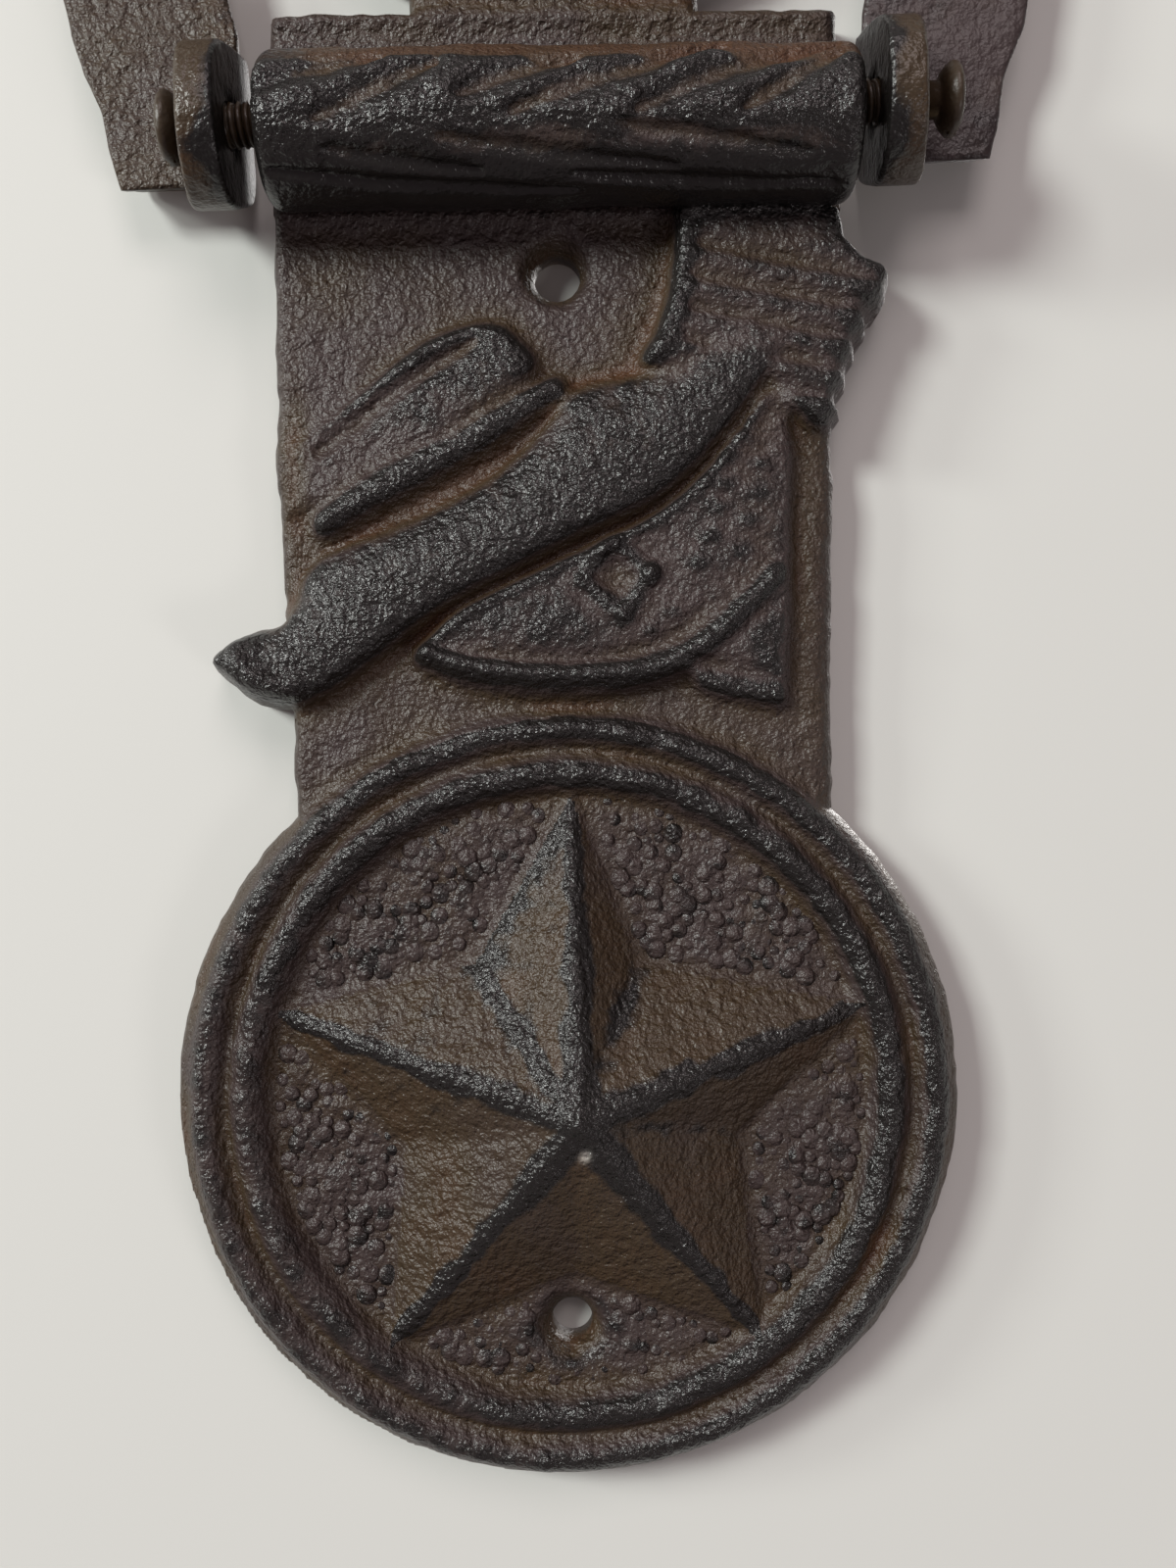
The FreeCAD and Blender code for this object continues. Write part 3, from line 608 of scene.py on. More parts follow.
# %% Height field mesh
def relief_mesh(name, edge, face, back, paint, seed, low, high, step, bevel):
    """Closed mesh between a front height field and a back one, inside an outline."""
    across = np.arange(low[0], high[0] + step, step)
    up = np.arange(low[1], high[1] + step, step)
    x, z = np.meshgrid(across, up, indexing="ij")
    front_height = soften(face(x, z), 3) + cast_skin(x, z, seed)
    wear_and_shade, rust, bare = paint(x, z, front_height - soften(front_height, 55))
    keep = edge(x, z) < 0.25 * step
    cells = keep[:-1, :-1] & keep[1:, :-1] & keep[1:, 1:] & keep[:-1, 1:]
    whole = np.zeros(x.shape, int)
    for shift_x in (0, 1):
        for shift_z in (0, 1):
            whole[shift_x:x.shape[0] - 1 + shift_x, shift_z:x.shape[1] - 1 + shift_z] += cells
    used = whole > 0
    snap_to_outline(edge, x, z, used & (whole < 4), step)

    number = -np.ones(x.shape, int)
    number[used] = np.arange(used.sum())
    px, pz = x[used], z[used]
    depth = np.clip(-edge(px, pz), 0, None)
    top = front_height[used]
    top = np.minimum(top, EDGE_HEIGHT + (top - EDGE_HEIGHT) * rounded(depth + 0.02, bevel(px)))
    bottom = np.minimum(back(px, pz), top - LEAST_THICK)
    points = np.vstack([np.column_stack([px, -top, pz]), np.column_stack([px, -bottom, pz])])
    piece = new_piece(name, points, shell_faces(number, cells, len(px)).tolist())
    behind = 0 * px
    store_paint(piece, np.append(wear_and_shade[used], behind + 0.2), np.append(rust[used], behind + 0.25),
                np.append(bare[used], behind))
    return piece


# %% Boss and upper plate
def star_hollow(x, z):
    """Back of the boss: a star pressed in from behind, which keeps the iron even."""
    middle = STAR_OUTLINE.mean(axis=0)
    corners = middle + 0.75 * (STAR_OUTLINE - middle)
    return star_height(x, z, corners, STAR_TOP, STAR_RISE + FACE - 4.2)


def flat_back(x, z):
    """Back of the upper plate: flat on the door, and cut back a little inside the boss."""
    return 0.3 * np.clip((37.0 - np.hypot(x - DISC[0], z - DISC[1])) / 0.6, 0, 1)


def disc_rim(x, z):
    """The boss's outline with its fixing hole."""
    return np.maximum(disc_edge(x, z), hole_edge(x, z, -HOLE_REACH, HOLE_RADIUS - 0.3))


def plate_rim(x, z):
    """The upper plate's outline with its fixing hole."""
    return np.maximum(plate_edge(x, z), hole_edge(x, z, HOLE_REACH, HOLE_RADIUS))


boss = relief_mesh("star_boss", disc_rim, disc_face, star_hollow, disc_paint, seed=21,
                   low=DISC - DISC_RADIUS, high=DISC + DISC_RADIUS, step=0.34,
                   bevel=lambda x: 1.1 + 0 * x)
plate = relief_mesh("boot_plate", plate_rim, plate_face, flat_back, plate_paint, seed=41,
                    low=(-34.2, -3.0), high=(33.0, 108.0), step=0.36,
                    bevel=lambda x: np.where(x < 0, 1.3, 2.0))

# %% [markdown]
# ## The hinge barrel
# The barrel looks like a length of bark: slanting lobes on its upper half and long shallow grooves
# underneath. Sculpting could do that. A tube whose radius changes with the angle and the place along
# it is exact where the screws enter its ends, and the pattern is drawn on the unrolled tube with the
# same strokes as the boots.

# %% Barrel
BARREL_RADIUS = 6.92
BARREL_ENDS = (-26.2, 27.4)
ARC = math.radians(1) * BARREL_RADIUS
UPPER_VALLEYS = [
    [(-20.6, -16), (-15.5, 4), (-10.0, 26)], [(-3.5, -12), (2.5, 6), (8.5, 24), (15.0, 50)],
    [(7.5, -12), (13.0, 8), (18.5, 26), (25.0, 50)], [(16.8, -12), (20.6, 8), (25.0, 32)],
    [(-26.0, 6), (-22.0, 20), (-15.0, 32)], [(-8.0, 0), (-4.0, 14), (2.0, 30)],
]
LOWER_VALLEYS = [
    [(-19.6, -36), (-13.0, -46), (-6.6, -55)], [(-9.8, -29), (0.4, -42), (11.0, -54)],
    [(5.6, -21), (9.0, -26), (13.0, -30), (22.5, -44)], [(-25.0, -52), (-12.0, -66), (2.0, -74)],
    [(2.0, -58), (13.0, -66), (25.0, -70)],
]


def bark(x, degrees):
    """Relief of the bark in millimetres, and how far it is in a valley, from 0 to 1."""
    arc = degrees * ARC
    relief = 0.16 * lattice_noise(x, arc, 4.0, 51) + cast_skin(x, arc, 52, 0.9)
    valley_share = np.zeros(x.shape)
    for valley, width, depth in ([(line, 2.1, 0.75) for line in UPPER_VALLEYS]
                                 + [(line, 1.2, 0.5) for line in LOWER_VALLEYS]):
        line = [(place, angle * ARC) for place, angle in valley]
        cut = groove(x, arc, line, width, 1.0, 0.55)
        relief = relief + depth * cut
        valley_share = np.maximum(valley_share, -cut)
    raised = np.clip((degrees + 34 + 12 * lattice_noise(x, arc, 4.5, 58)) / 20, 0, 1)
    raised = raised * np.clip((34 + 7 * lattice_noise(x, arc, 3.5, 56) - degrees) / 7, 0, 1)
    relief = relief + 0.45 * raised * (0.8 + 0.5 * lattice_noise(x, arc, 2.2, 57))
    return relief, valley_share, raised


# %% Tube along the pivot line
def tube_mesh(name, lengths, radii, turns, surface):
    """Closed tube along X. surface(x, degrees, base radius) gives y and z for each point."""
    x, degrees = np.meshgrid(lengths, turns, indexing="ij")
    base = np.repeat(np.array(radii)[:, None], len(turns), axis=1)
    y, z = surface(x, degrees, base)
    points = np.stack([x, y, z], axis=-1).reshape(-1, 3)
    rows, columns = len(lengths), len(turns)
    grid = np.arange(rows * columns).reshape(rows, columns)
    after = np.roll(grid, -1, axis=1)
    faces = np.stack([grid[:-1], after[:-1], after[1:], grid[1:]], axis=-1).reshape(-1, 4).tolist()
    first = points[grid[0]].mean(axis=0)
    last = points[grid[-1]].mean(axis=0)
    points = np.vstack([points, first, last])
    low, high = len(points) - 2, len(points) - 1
    faces += [(low, after[0, i], grid[0, i]) for i in range(columns)]
    faces += [(high, grid[-1, i], after[-1, i]) for i in range(columns)]
    return new_piece(name, points, faces)


def signed_turn(degrees):
    """Angle from -180 to 180."""
    return (degrees + 180) % 360 - 180


def barrel_surface(x, degrees, base):
    """Points of the barrel. Angle 0 looks out of the door and 90 looks up."""
    relief, _, _ = bark(x, signed_turn(degrees))
    reach = base + relief * np.clip(base / BARREL_RADIUS, 0, 1) ** 3 - 0.2
    angle = np.radians(degrees)
    return -BARREL_STAND - reach * np.cos(angle), BARREL_RISE + reach * np.sin(angle)


# %% Barrel mesh and paint
END_ROUND = 1.5
end_steps = np.linspace(0, 1, 7)[:-1]
left_end = BARREL_ENDS[0] + END_ROUND * (1 - np.cos(end_steps * math.pi / 2))
end_radii = BARREL_RADIUS - END_ROUND + END_ROUND * np.sin(end_steps * math.pi / 2)
middle = np.arange(BARREL_ENDS[0] + END_ROUND, BARREL_ENDS[1] - END_ROUND, 0.36)
right_end = BARREL_ENDS[0] + BARREL_ENDS[1] - left_end[::-1]
barrel_x = np.concatenate([[left_end[0]] * 2, left_end, middle, right_end, [right_end[-1]] * 2])
barrel_r = np.concatenate([[0.4, 3.0], end_radii, np.full(len(middle), BARREL_RADIUS),
                           end_radii[::-1], [3.0, 0.4]])
barrel_turns = np.arange(0, 360, 2.5)
barrel = tube_mesh("hinge_barrel", barrel_x, barrel_r, barrel_turns, barrel_surface)
barrel.data.flip_normals()

spot_x, spot_turn = np.meshgrid(barrel_x, signed_turn(barrel_turns), indexing="ij")
_, in_valley, on_lobe = bark(spot_x, spot_turn)
# Painted shade: the last term turns the barrel's underside, from 26 to 52 degrees below level, to the
# rubbed black because shade falls there, not because it is worn.
barrel_wear_and_shade = 0.25 + 0.75 * on_lobe * (1 - 0.85 * in_valley) + 0.6 * np.clip(-(spot_turn + 26) / 26, 0, 1)
barrel_wear_and_shade = barrel_wear_and_shade + 0.35 * np.exp(-((spot_x - BARREL_ENDS[0]) / 5) ** 2)
barrel_rust = 0.2 + 0.6 * np.clip((spot_turn - 16) / 24, 0, 1) + 0.2 * in_valley
barrel_grain = np.clip(0.9 + (spot_turn + 20) / 60, 0.4, 1)
store_paint(barrel, *(np.append(layer.ravel(), [0, 0])
                      for layer in (barrel_wear_and_shade, barrel_rust, 0 * spot_x, barrel_grain)))

# %% [markdown]
# ## The horseshoe
# The shoe is one bar bent round: two arcs for the branches and one for the toe. Its section is a
# rectangle with worn corners that is carried along those arcs. A curve with a bevel object could
# carry it too, but the web has to narrow at the heels to leave room for the plate, and the section
# has to turn level there, which is easier point by point. Flat on the door, its plain back
# looks at the viewer. The dressed face with the groove and the nail holes looks at the door, and
# comes to the front when the knocker hangs.

# %% Horseshoe bar
SHOE_THICK = 4.9
SHOE_WEB = 15.8
TOE_RADIUS = 41.9
TOE_RISE = 56.4
BRANCH_RADIUS = 100.0
BRANCH_FALL = 25.0
HEEL_DROP = 2.8
HEEL_LEVEL = 16.0
SHOE_DRAFT = 1.0
SHOE_STEP = 0.55
SHOE_CORNER = 0.6
NAIL_LEVELS = (22.0, 38.0, 54.0)
LUG_INNER = 29.2
BRANCH_ACROSS = math.sqrt((BRANCH_RADIUS - TOE_RADIUS) ** 2 - BRANCH_FALL ** 2)
BRANCH_CENTRE = np.array([-BRANCH_ACROSS, TOE_RISE - BRANCH_FALL])
TOUCH = math.atan2(BRANCH_FALL, BRANCH_ACROSS)


def place_on_pivot(points):
    """Carry points from the shoe's own upright frame to the tilted pivot line."""
    turned = points.copy()
    turned[:, 0] = points[:, 0] * math.cos(TILT) - points[:, 2] * math.sin(TILT)
    turned[:, 2] = points[:, 0] * math.sin(TILT) + points[:, 2] * math.cos(TILT)
    turned[:, 2] += PIVOT[2]
    return turned


def shoe_rays(step):
    """Outer points of the shoe's right half and the directions that point inwards."""
    start = math.asin((-HEEL_DROP - BRANCH_CENTRE[1]) / BRANCH_RADIUS)
    branch_angles = np.linspace(start, TOUCH, int(BRANCH_RADIUS * (TOUCH - start) / step))
    toe_angles = np.linspace(TOUCH, math.pi / 2, int(TOE_RADIUS * (math.pi / 2 - TOUCH) / step))
    branch = BRANCH_CENTRE + BRANCH_RADIUS * np.column_stack(
        [np.cos(branch_angles), np.sin(branch_angles)])
    toe = np.array([0, TOE_RISE]) + TOE_RADIUS * np.column_stack(
        [np.cos(toe_angles), np.sin(toe_angles)])
    outer = np.vstack([branch, toe[1:]])
    angles = np.concatenate([branch_angles, toe_angles[1:]])
    inward = -np.column_stack([np.cos(angles), np.sin(angles)])
    level = np.clip(1 - (outer[:, 1] + HEEL_DROP) / HEEL_LEVEL, 0, 1)[:, None]
    inward = inward * (1 - level) + np.array([-1.0, 0.0]) * level
    inward /= np.linalg.norm(inward, axis=1)[:, None]
    outer[:, 0] -= 0.8 * np.exp(-((outer[:, 1] - 4.5) / 3.5) ** 2)
    return outer, inward


def section_ring(corner):
    """Points round the bar's section: share across the web, and height over the door."""
    ring = []
    turns = np.linspace(0, math.pi / 2, 5)
    width, thick = SHOE_WEB, SHOE_THICK
    centres = ((corner, corner, math.pi), (width - corner, corner, 1.5 * math.pi),
               (width - corner, thick - corner, 0), (corner, thick - corner, 0.5 * math.pi))
    for index, (across, tall, begin) in enumerate(centres):
        for turn in turns:
            ring.append((across + corner * math.cos(begin + turn),
                         tall + corner * math.sin(begin + turn)))
        following = centres[(index + 1) % 4]
        if index % 2 == 0:
            start, end = (across, 0.0), (following[0], 0.0)
            if index == 2:
                start, end = (across, thick), (following[0], thick)
            for share in np.linspace(0, 1, 34)[1:-1]:
                ring.append((start[0] + (end[0] - start[0]) * share, start[1]))
        else:
            for share in np.linspace(0, 1, 8)[1:-1]:
                ring.append((ring[-1][0], tall + (following[1] - tall) * share))
    return np.array(ring)


# %% Horseshoe surface
def horseshoe_bar():
    """The whole bar as one closed mesh, in millimetres, and its faces."""
    outer, inward = shoe_rays(SHOE_STEP)
    mirror = np.array([-1, 1])
    outer = np.vstack([outer, outer[-2::-1] * mirror])
    inward = np.vstack([inward, inward[-2::-1] * mirror])
    ring = section_ring(SHOE_CORNER)
    behind = 1 - ring[:, 1] / SHOE_THICK
    web = 0.5 + (ring[:, 0] / SHOE_WEB - 0.5) * (1 - 2 * SHOE_DRAFT / SHOE_WEB * behind)
    points = []
    for origin, direction in zip(outer, inward):
        reach = SHOE_WEB
        inner = origin + direction * reach
        if abs(inner[0]) < LUG_INNER + 0.15 and origin[1] < 30:
            reach = (abs(origin[0]) - LUG_INNER - 0.15) / abs(direction[0])
        plan = origin + np.outer(web * reach, direction)
        plan[:, 1] += 1.8 * behind * np.clip(1 - (origin[1] + HEEL_DROP) / 4, 0, 1)
        points.append(np.column_stack([plan[:, 0], -ring[:, 1], plan[:, 1]]))
    points = np.array(points)
    flat = points.reshape(-1, 3)
    rough = 0.6 * rough_edge(flat[:, 0], flat[:, 2], 61) - 0.2
    side = (np.tile(web, len(outer)) - 0.5) * 2
    inwards = np.repeat(inward, len(ring), axis=0)
    flat[:, 0] += inwards[:, 0] * rough * side
    flat[:, 2] += inwards[:, 1] * rough * side
    skin = cast_skin(flat[:, 0], flat[:, 2], 62) - 0.22
    front = flat[:, 1] < -SHOE_THICK * 0.6
    flat[:, 1] -= np.where(front, skin, 0)
    return flat.reshape(points.shape), ring


def shoe_dressing(points, ring):
    """Press the groove and the nail holes into the face that lies on the door."""
    across = ring[:, 0]
    back = ring[:, 1] < 0.05
    band = np.clip(1 - np.abs(across - SHOE_WEB / 2) / 2.0, 0, 1)
    band = np.sqrt(np.clip(1 - (1 - band) ** 2, 0, 1)) * back
    for row in points:
        rise = np.abs(row[:, 2]).mean()
        fade = np.clip((rise - 9) / 3, 0, 1)
        row[:, 1] -= 1.1 * band * fade
        for nail in NAIL_LEVELS:
            hit = (np.abs(row[:, 2] - nail) < 1.3) & (np.abs(across - SHOE_WEB / 2) < 1.3) & back
            row[hit, 1] -= 1.2
    return points


def close_bar(name, points):
    """Mesh of a bar from its sections, with a fan on each end."""
    rows, columns = points.shape[:2]
    flat = points.reshape(-1, 3)
    grid = np.arange(rows * columns).reshape(rows, columns)
    after = np.roll(grid, -1, axis=1)
    faces = np.stack([grid[:-1], grid[1:], after[1:], after[:-1]], axis=-1).reshape(-1, 4).tolist()
    flat = np.vstack([flat, points[0].mean(axis=0), points[-1].mean(axis=0)])
    low, high = len(flat) - 2, len(flat) - 1
    faces += [(low, grid[0, i], after[0, i]) for i in range(columns)]
    faces += [(high, after[-1, i], grid[-1, i]) for i in range(columns)]
    piece = new_piece(name, place_on_pivot(flat), faces)
    piece.data.flip_normals()
    return piece


# %% Horseshoe mesh and paint
bar_points, bar_ring = horseshoe_bar()
bar_points = shoe_dressing(bar_points, bar_ring)
shoe = close_bar("horseshoe_bar", bar_points)
shoe_points = points_of(shoe)
left_share = np.clip(0.5 - shoe_points[:, 0] / 40, 0, 1)
shoe_lump = lattice_noise(shoe_points[:, 0], shoe_points[:, 2], 5.0, 64)
store_paint(shoe, 0.26 + 0.25 * shoe_lump, 0.10 + 0.30 * left_share + 0.12 * shoe_lump,
            grain=0.45 + 0.5 * left_share)

# %% [markdown]
# ## The lugs
# A lug is a thick ring with one flat foot. Rays from the pivot give its outline, so the hole is
# round and the outside can be any shape, where a boolean cut would leave thin slivers. The face
# towards the barrel is flat, and the outside is drafted: thicker at the foot, as a casting needs.

# %% Lugs
LUG_THICK = 3.3
LUG_BORE = 2.12
LUG_CORNER = 0.45


def lug_reach(angle):
    """Outside of a lug from the pivot. Angle 0 looks out of the door and 90 up the shoe."""
    outline = smooth_line([(6.2, 0.0), (5.4, 3.8), (2.4, 6.6), (-2.6, 8.6), (-6.0, 9.6),
                           (-8.6, 9.6), (-9.8, 3.0), (-9.8, -2.4), (-5.4, -5.2), (-1.0, -6.8),
                           (2.8, -6.0), (5.4, -3.4)], closed=True)
    angles = np.unwrap(np.arctan2(outline[:, 1], outline[:, 0]))
    reach = np.hypot(outline[:, 0], outline[:, 1])
    return np.interp(angle, angles, reach, period=2 * math.pi)


def lug(name, side):
    """One lug as a closed ring round the pivot."""
    angles = np.linspace(0, 2 * math.pi, 97)[:-1]
    reach = lug_reach(angles)
    corner, flat = LUG_CORNER, reach - LUG_CORNER
    quarter = np.linspace(0, math.pi / 2, 5)
    section = [(0.0, LUG_BORE + (flat - LUG_BORE) * share) for share in (0.0, 0.33, 0.66, 1.0)]
    section += [(corner * (1 - math.cos(turn)), flat + corner * math.sin(turn))
                for turn in quarter[1:]]
    section += [(LUG_THICK - corner + corner * math.sin(turn), flat + corner * math.cos(turn))
                for turn in quarter]
    section += [(LUG_THICK, LUG_BORE + (flat - LUG_BORE) * share) for share in (0.66, 0.33, 0.0)]
    rings = []
    for across, radial in section:
        out, rise = radial * np.cos(angles), radial * np.sin(angles)
        draft = 0.11 * np.clip(6.0 - out, 0, 12) * (across / LUG_THICK)
        lump = 0.05 * lattice_noise(out + 40 * across, rise, 1.3, 91)
        rings.append(np.column_stack([side * (LUG_INNER + across + draft + lump),
                                      PIVOT[1] - out, rise]))
    rings = np.array(rings)
    rows, columns = rings.shape[:2]
    grid = np.arange(rows * columns).reshape(rows, columns)
    after, below = np.roll(grid, -1, axis=1), np.roll(grid, -1, axis=0)
    beyond = np.roll(below, -1, axis=1)
    quads = np.stack([grid, after, beyond, below], axis=-1).reshape(-1, 4)
    if side > 0:
        quads = quads[:, ::-1]
    return new_piece(name, place_on_pivot(rings.reshape(-1, 3)), quads.tolist())


# %% Both lugs
lugs = [lug("left_lug", -1), lug("right_lug", 1)]
for piece in lugs:
    points = points_of(piece)
    lump = lattice_noise(points[:, 1] + points[:, 0], points[:, 2], 3.0, 93)
    along = np.abs((points - PIVOT) @ PIVOT_AXIS) - LUG_INNER
    # Painted shade: shaded turns the face towards the barrel to the rubbed black, standing in for the
    # shade that falls on it there.
    shaded = np.clip(1.2 - along / 0.7, 0, 1)
    store_paint(piece, 0.12 + 0.35 * lump + shaded, 0.45 + 0.25 * lump, grain=0.55)

# %% [markdown]
# ## The paint
# The iron is dipped in a thin dark paint. It is brown with a little purple where it lies low,
# nearly black with a blue cast where it is rubbed, and olive or rust brown along creases. The same
# near black is also painted shade, on the barrel's underside and on the lugs' faces towards the
# barrel. Its skin is grainy, and each grain catches the light. All of that comes from noise on the
# object's own coordinates and from the numbers stored on the points, so no picture file is needed
# and the grain is the same size on every piece.

# %% Nodes of the paint
def srgb(red, green, blue):
    """Colour from 0 to 255 screen values, as the linear numbers that a shader takes."""
    linear = [(value / 255) / 12.92 if value <= 10.31 else ((value / 255 + 0.055) / 1.055) ** 2.4
              for value in (red, green, blue)]
    return (*linear, 1.0)


def noise_node(nodes, links, coordinates, scale, detail):
    """Noise texture on the object's own coordinates, with lumps per metre."""
    node = nodes.new("ShaderNodeTexNoise")
    node.inputs["Scale"].default_value = scale
    node.inputs["Detail"].default_value = detail
    node.inputs["Roughness"].default_value = 0.6
    links.new(coordinates, node.inputs["Vector"])
    return node


def ramp_node(nodes, links, value, stops):
    """Colour ramp with the given (place, colour) stops."""
    node = nodes.new("ShaderNodeValToRGB")
    while len(node.color_ramp.elements) < len(stops):
        node.color_ramp.elements.new(0.5)
    for element, (place, colour) in zip(node.color_ramp.elements, stops):
        element.position = place
        element.color = colour
    links.new(value, node.inputs["Fac"])
    return node


def mix_colours(nodes, links, share, first, second):
    """Mix of two colours by a share from 0 to 1."""
    node = nodes.new("ShaderNodeMix")
    node.data_type = "RGBA"
    links.new(share, node.inputs[0])
    for value, index in ((first, 6), (second, 7)):
        if isinstance(value, tuple):
            node.inputs[index].default_value = value
        else:
            links.new(value, node.inputs[index])
    return node.outputs[2]


def broken_up(nodes, links, name, noise, amount):
    """A number stored on the mesh, made patchy by a noise."""
    stored = nodes.new("ShaderNodeAttribute")
    stored.attribute_name = name
    patch = nodes.new("ShaderNodeMath")
    patch.operation = "MULTIPLY_ADD"
    links.new(noise, patch.inputs[0])
    patch.inputs[1].default_value = amount
    patch.inputs[2].default_value = -amount / 2
    total = nodes.new("ShaderNodeMath")
    total.operation = "ADD"
    links.new(stored.outputs["Fac"], total.inputs[0])
    links.new(patch.outputs[0], total.inputs[1])
    return total.outputs[0]


def grain_bump(nodes, links, height, strength, distance, before=None):
    """Bump in metres on top of an earlier one."""
    node = nodes.new("ShaderNodeBump")
    links.new(strength, node.inputs["Strength"])
    node.inputs["Distance"].default_value = distance
    links.new(height, node.inputs["Height"])
    if before:
        links.new(before.outputs["Normal"], node.inputs["Normal"])
    return node


# %% Iron paint
BLOTCHES_PER_METRE, PATCHES_PER_METRE = 130, 420
LUMPS_PER_METRE, LUMP_HEIGHT = 800, 0.54 * MM
GRIT_PER_METRE, GRIT_HEIGHT = 2000, 0.30 * MM
OLIVE, ORANGE, BARE_IRON = srgb(58, 46, 32), srgb(72, 46, 28), srgb(176, 172, 164)


def iron_paint(name, low, worn_and_shade, matt, shine):
    """Painted cast iron. matt and shine are the roughness of its low and its rubbed parts."""
    material = bpy.data.materials.new(name)
    material.use_nodes = True
    nodes, links = material.node_tree.nodes, material.node_tree.links
    shader = nodes["Principled BSDF"]
    place = nodes.new("ShaderNodeTexCoord").outputs["Object"]
    patches = noise_node(nodes, links, place, PATCHES_PER_METRE, 4)
    blotches = noise_node(nodes, links, place, BLOTCHES_PER_METRE, 3)
    lumps = noise_node(nodes, links, place, LUMPS_PER_METRE, 2)
    grit = noise_node(nodes, links, place, GRIT_PER_METRE, 2)

    rust = broken_up(nodes, links, "rust", blotches.outputs["Fac"], 0.6)
    brown = ramp_node(nodes, links, rust, [(0.15, low), (0.50, OLIVE), (1.0, ORANGE)])
    # The stored rubbed number also carries painted shade, so this black also stands in for shade on the
    # barrel's underside and on the lugs' faces towards the barrel.
    wear_and_shade = broken_up(nodes, links, "wear_and_shade", patches.outputs["Fac"], 0.7)
    rubbed = ramp_node(nodes, links, wear_and_shade, [(0.38, (0, 0, 0, 1)), (0.62, (1, 1, 1, 1))])
    colour = mix_colours(nodes, links, rubbed.outputs["Color"], brown.outputs["Color"], worn_and_shade)
    chips = nodes.new("ShaderNodeAttribute")
    chips.attribute_name = "bare"
    colour = mix_colours(nodes, links, chips.outputs["Fac"], colour, BARE_IRON)
    links.new(colour, shader.inputs["Base Color"])

    rough = nodes.new("ShaderNodeMapRange")
    rough.inputs["To Min"].default_value = matt
    rough.inputs["To Max"].default_value = shine
    links.new(rubbed.outputs["Color"], rough.inputs["Value"])
    links.new(rough.outputs["Result"], shader.inputs["Roughness"])
    shader.inputs["Specular IOR Level"].default_value = 0.45

    grainy = nodes.new("ShaderNodeAttribute")
    grainy.attribute_name = "grain"
    strength = grainy.outputs["Fac"]
    coarse = grain_bump(nodes, links, lumps.outputs["Fac"], strength, LUMP_HEIGHT)
    fine = grain_bump(nodes, links, grit.outputs["Fac"], strength, GRIT_HEIGHT, coarse)
    links.new(fine.outputs["Normal"], shader.inputs["Normal"])
    return material


# Each second colour is the rubbed black, which is also the painted shade on the barrel's underside and
# the lugs' faces towards the barrel.
plate_iron = iron_paint("plate_iron", srgb(57, 47, 45), srgb(28, 26, 25), 0.41, 0.27)
shoe_iron = iron_paint("shoe_iron", srgb(55, 45, 45), srgb(36, 33, 33), 0.42, 0.28)
lug_iron = iron_paint("lug_iron", srgb(60, 49, 36), srgb(20, 18, 17), 0.32, 0.34)
screw_iron = iron_paint("screw_iron", srgb(36, 32, 29), srgb(30, 29, 28), 0.40, 0.30)
print("paints:", [paint.name for paint in (plate_iron, shoe_iron, lug_iron, screw_iron)])

# %% [markdown]
# ## The pivot screws
# A screw is a turned shape: head, shank and point. The thread is a ridge that follows a helix, which
# is a job for Geometry Nodes: a spiral curve, a small square on its corner as its section, and a
# material. The result is turned into a plain mesh and joined with the turned body.

# %% Screw body
HEAD_RADIUS = 3.2
HEAD_INNER = {-1: 33.3, 1: 34.6}
SCREW_END = 17.2
PITCH = 0.7
SLOT_WIDTH = 1.0
SLOT_DEPTH = 0.9


def screw_body(name, side):
    """Turned body of a screw with a driver slot across its head."""
    head = HEAD_INNER[side]
    profile = [(SCREW_END, 0.9), (SCREW_END + 0.6, 1.62), (head, 1.62), (head + 0.15, 2.0),
               (head + 0.5, HEAD_RADIUS - 0.6), (head + 1.0, HEAD_RADIUS - 0.1),
               (head + 1.25, HEAD_RADIUS), (head + 1.5, HEAD_RADIUS),
               (head + 1.75, HEAD_RADIUS - 0.15), (head + 2.0, HEAD_RADIUS - 0.7),
               (head + 2.2, HEAD_RADIUS - 1.5), (head + 2.3, 1.0), (head + 2.3, 0.5)]
    lengths = [place for place, _ in profile]
    radii = [radius for _, radius in profile]

    def surface(x, degrees, base):
        angle = np.radians(degrees)
        return base * np.cos(angle), base * np.sin(angle)

    piece = tube_mesh(name, lengths, radii, np.arange(0, 360, 5), surface)
    points = points_of(piece)
    slot = (np.abs(points[:, 1]) < SLOT_WIDTH / 2) & (points[:, 0] > head + 1.7)
    points[slot, 0] -= SLOT_DEPTH
    points[:, 0] *= side
    points[:, 1] += PIVOT[1]
    piece.data.vertices.foreach_set("co", (place_on_pivot(points) * MM).ravel())
    if side < 0:
        piece.data.flip_normals()
    return piece


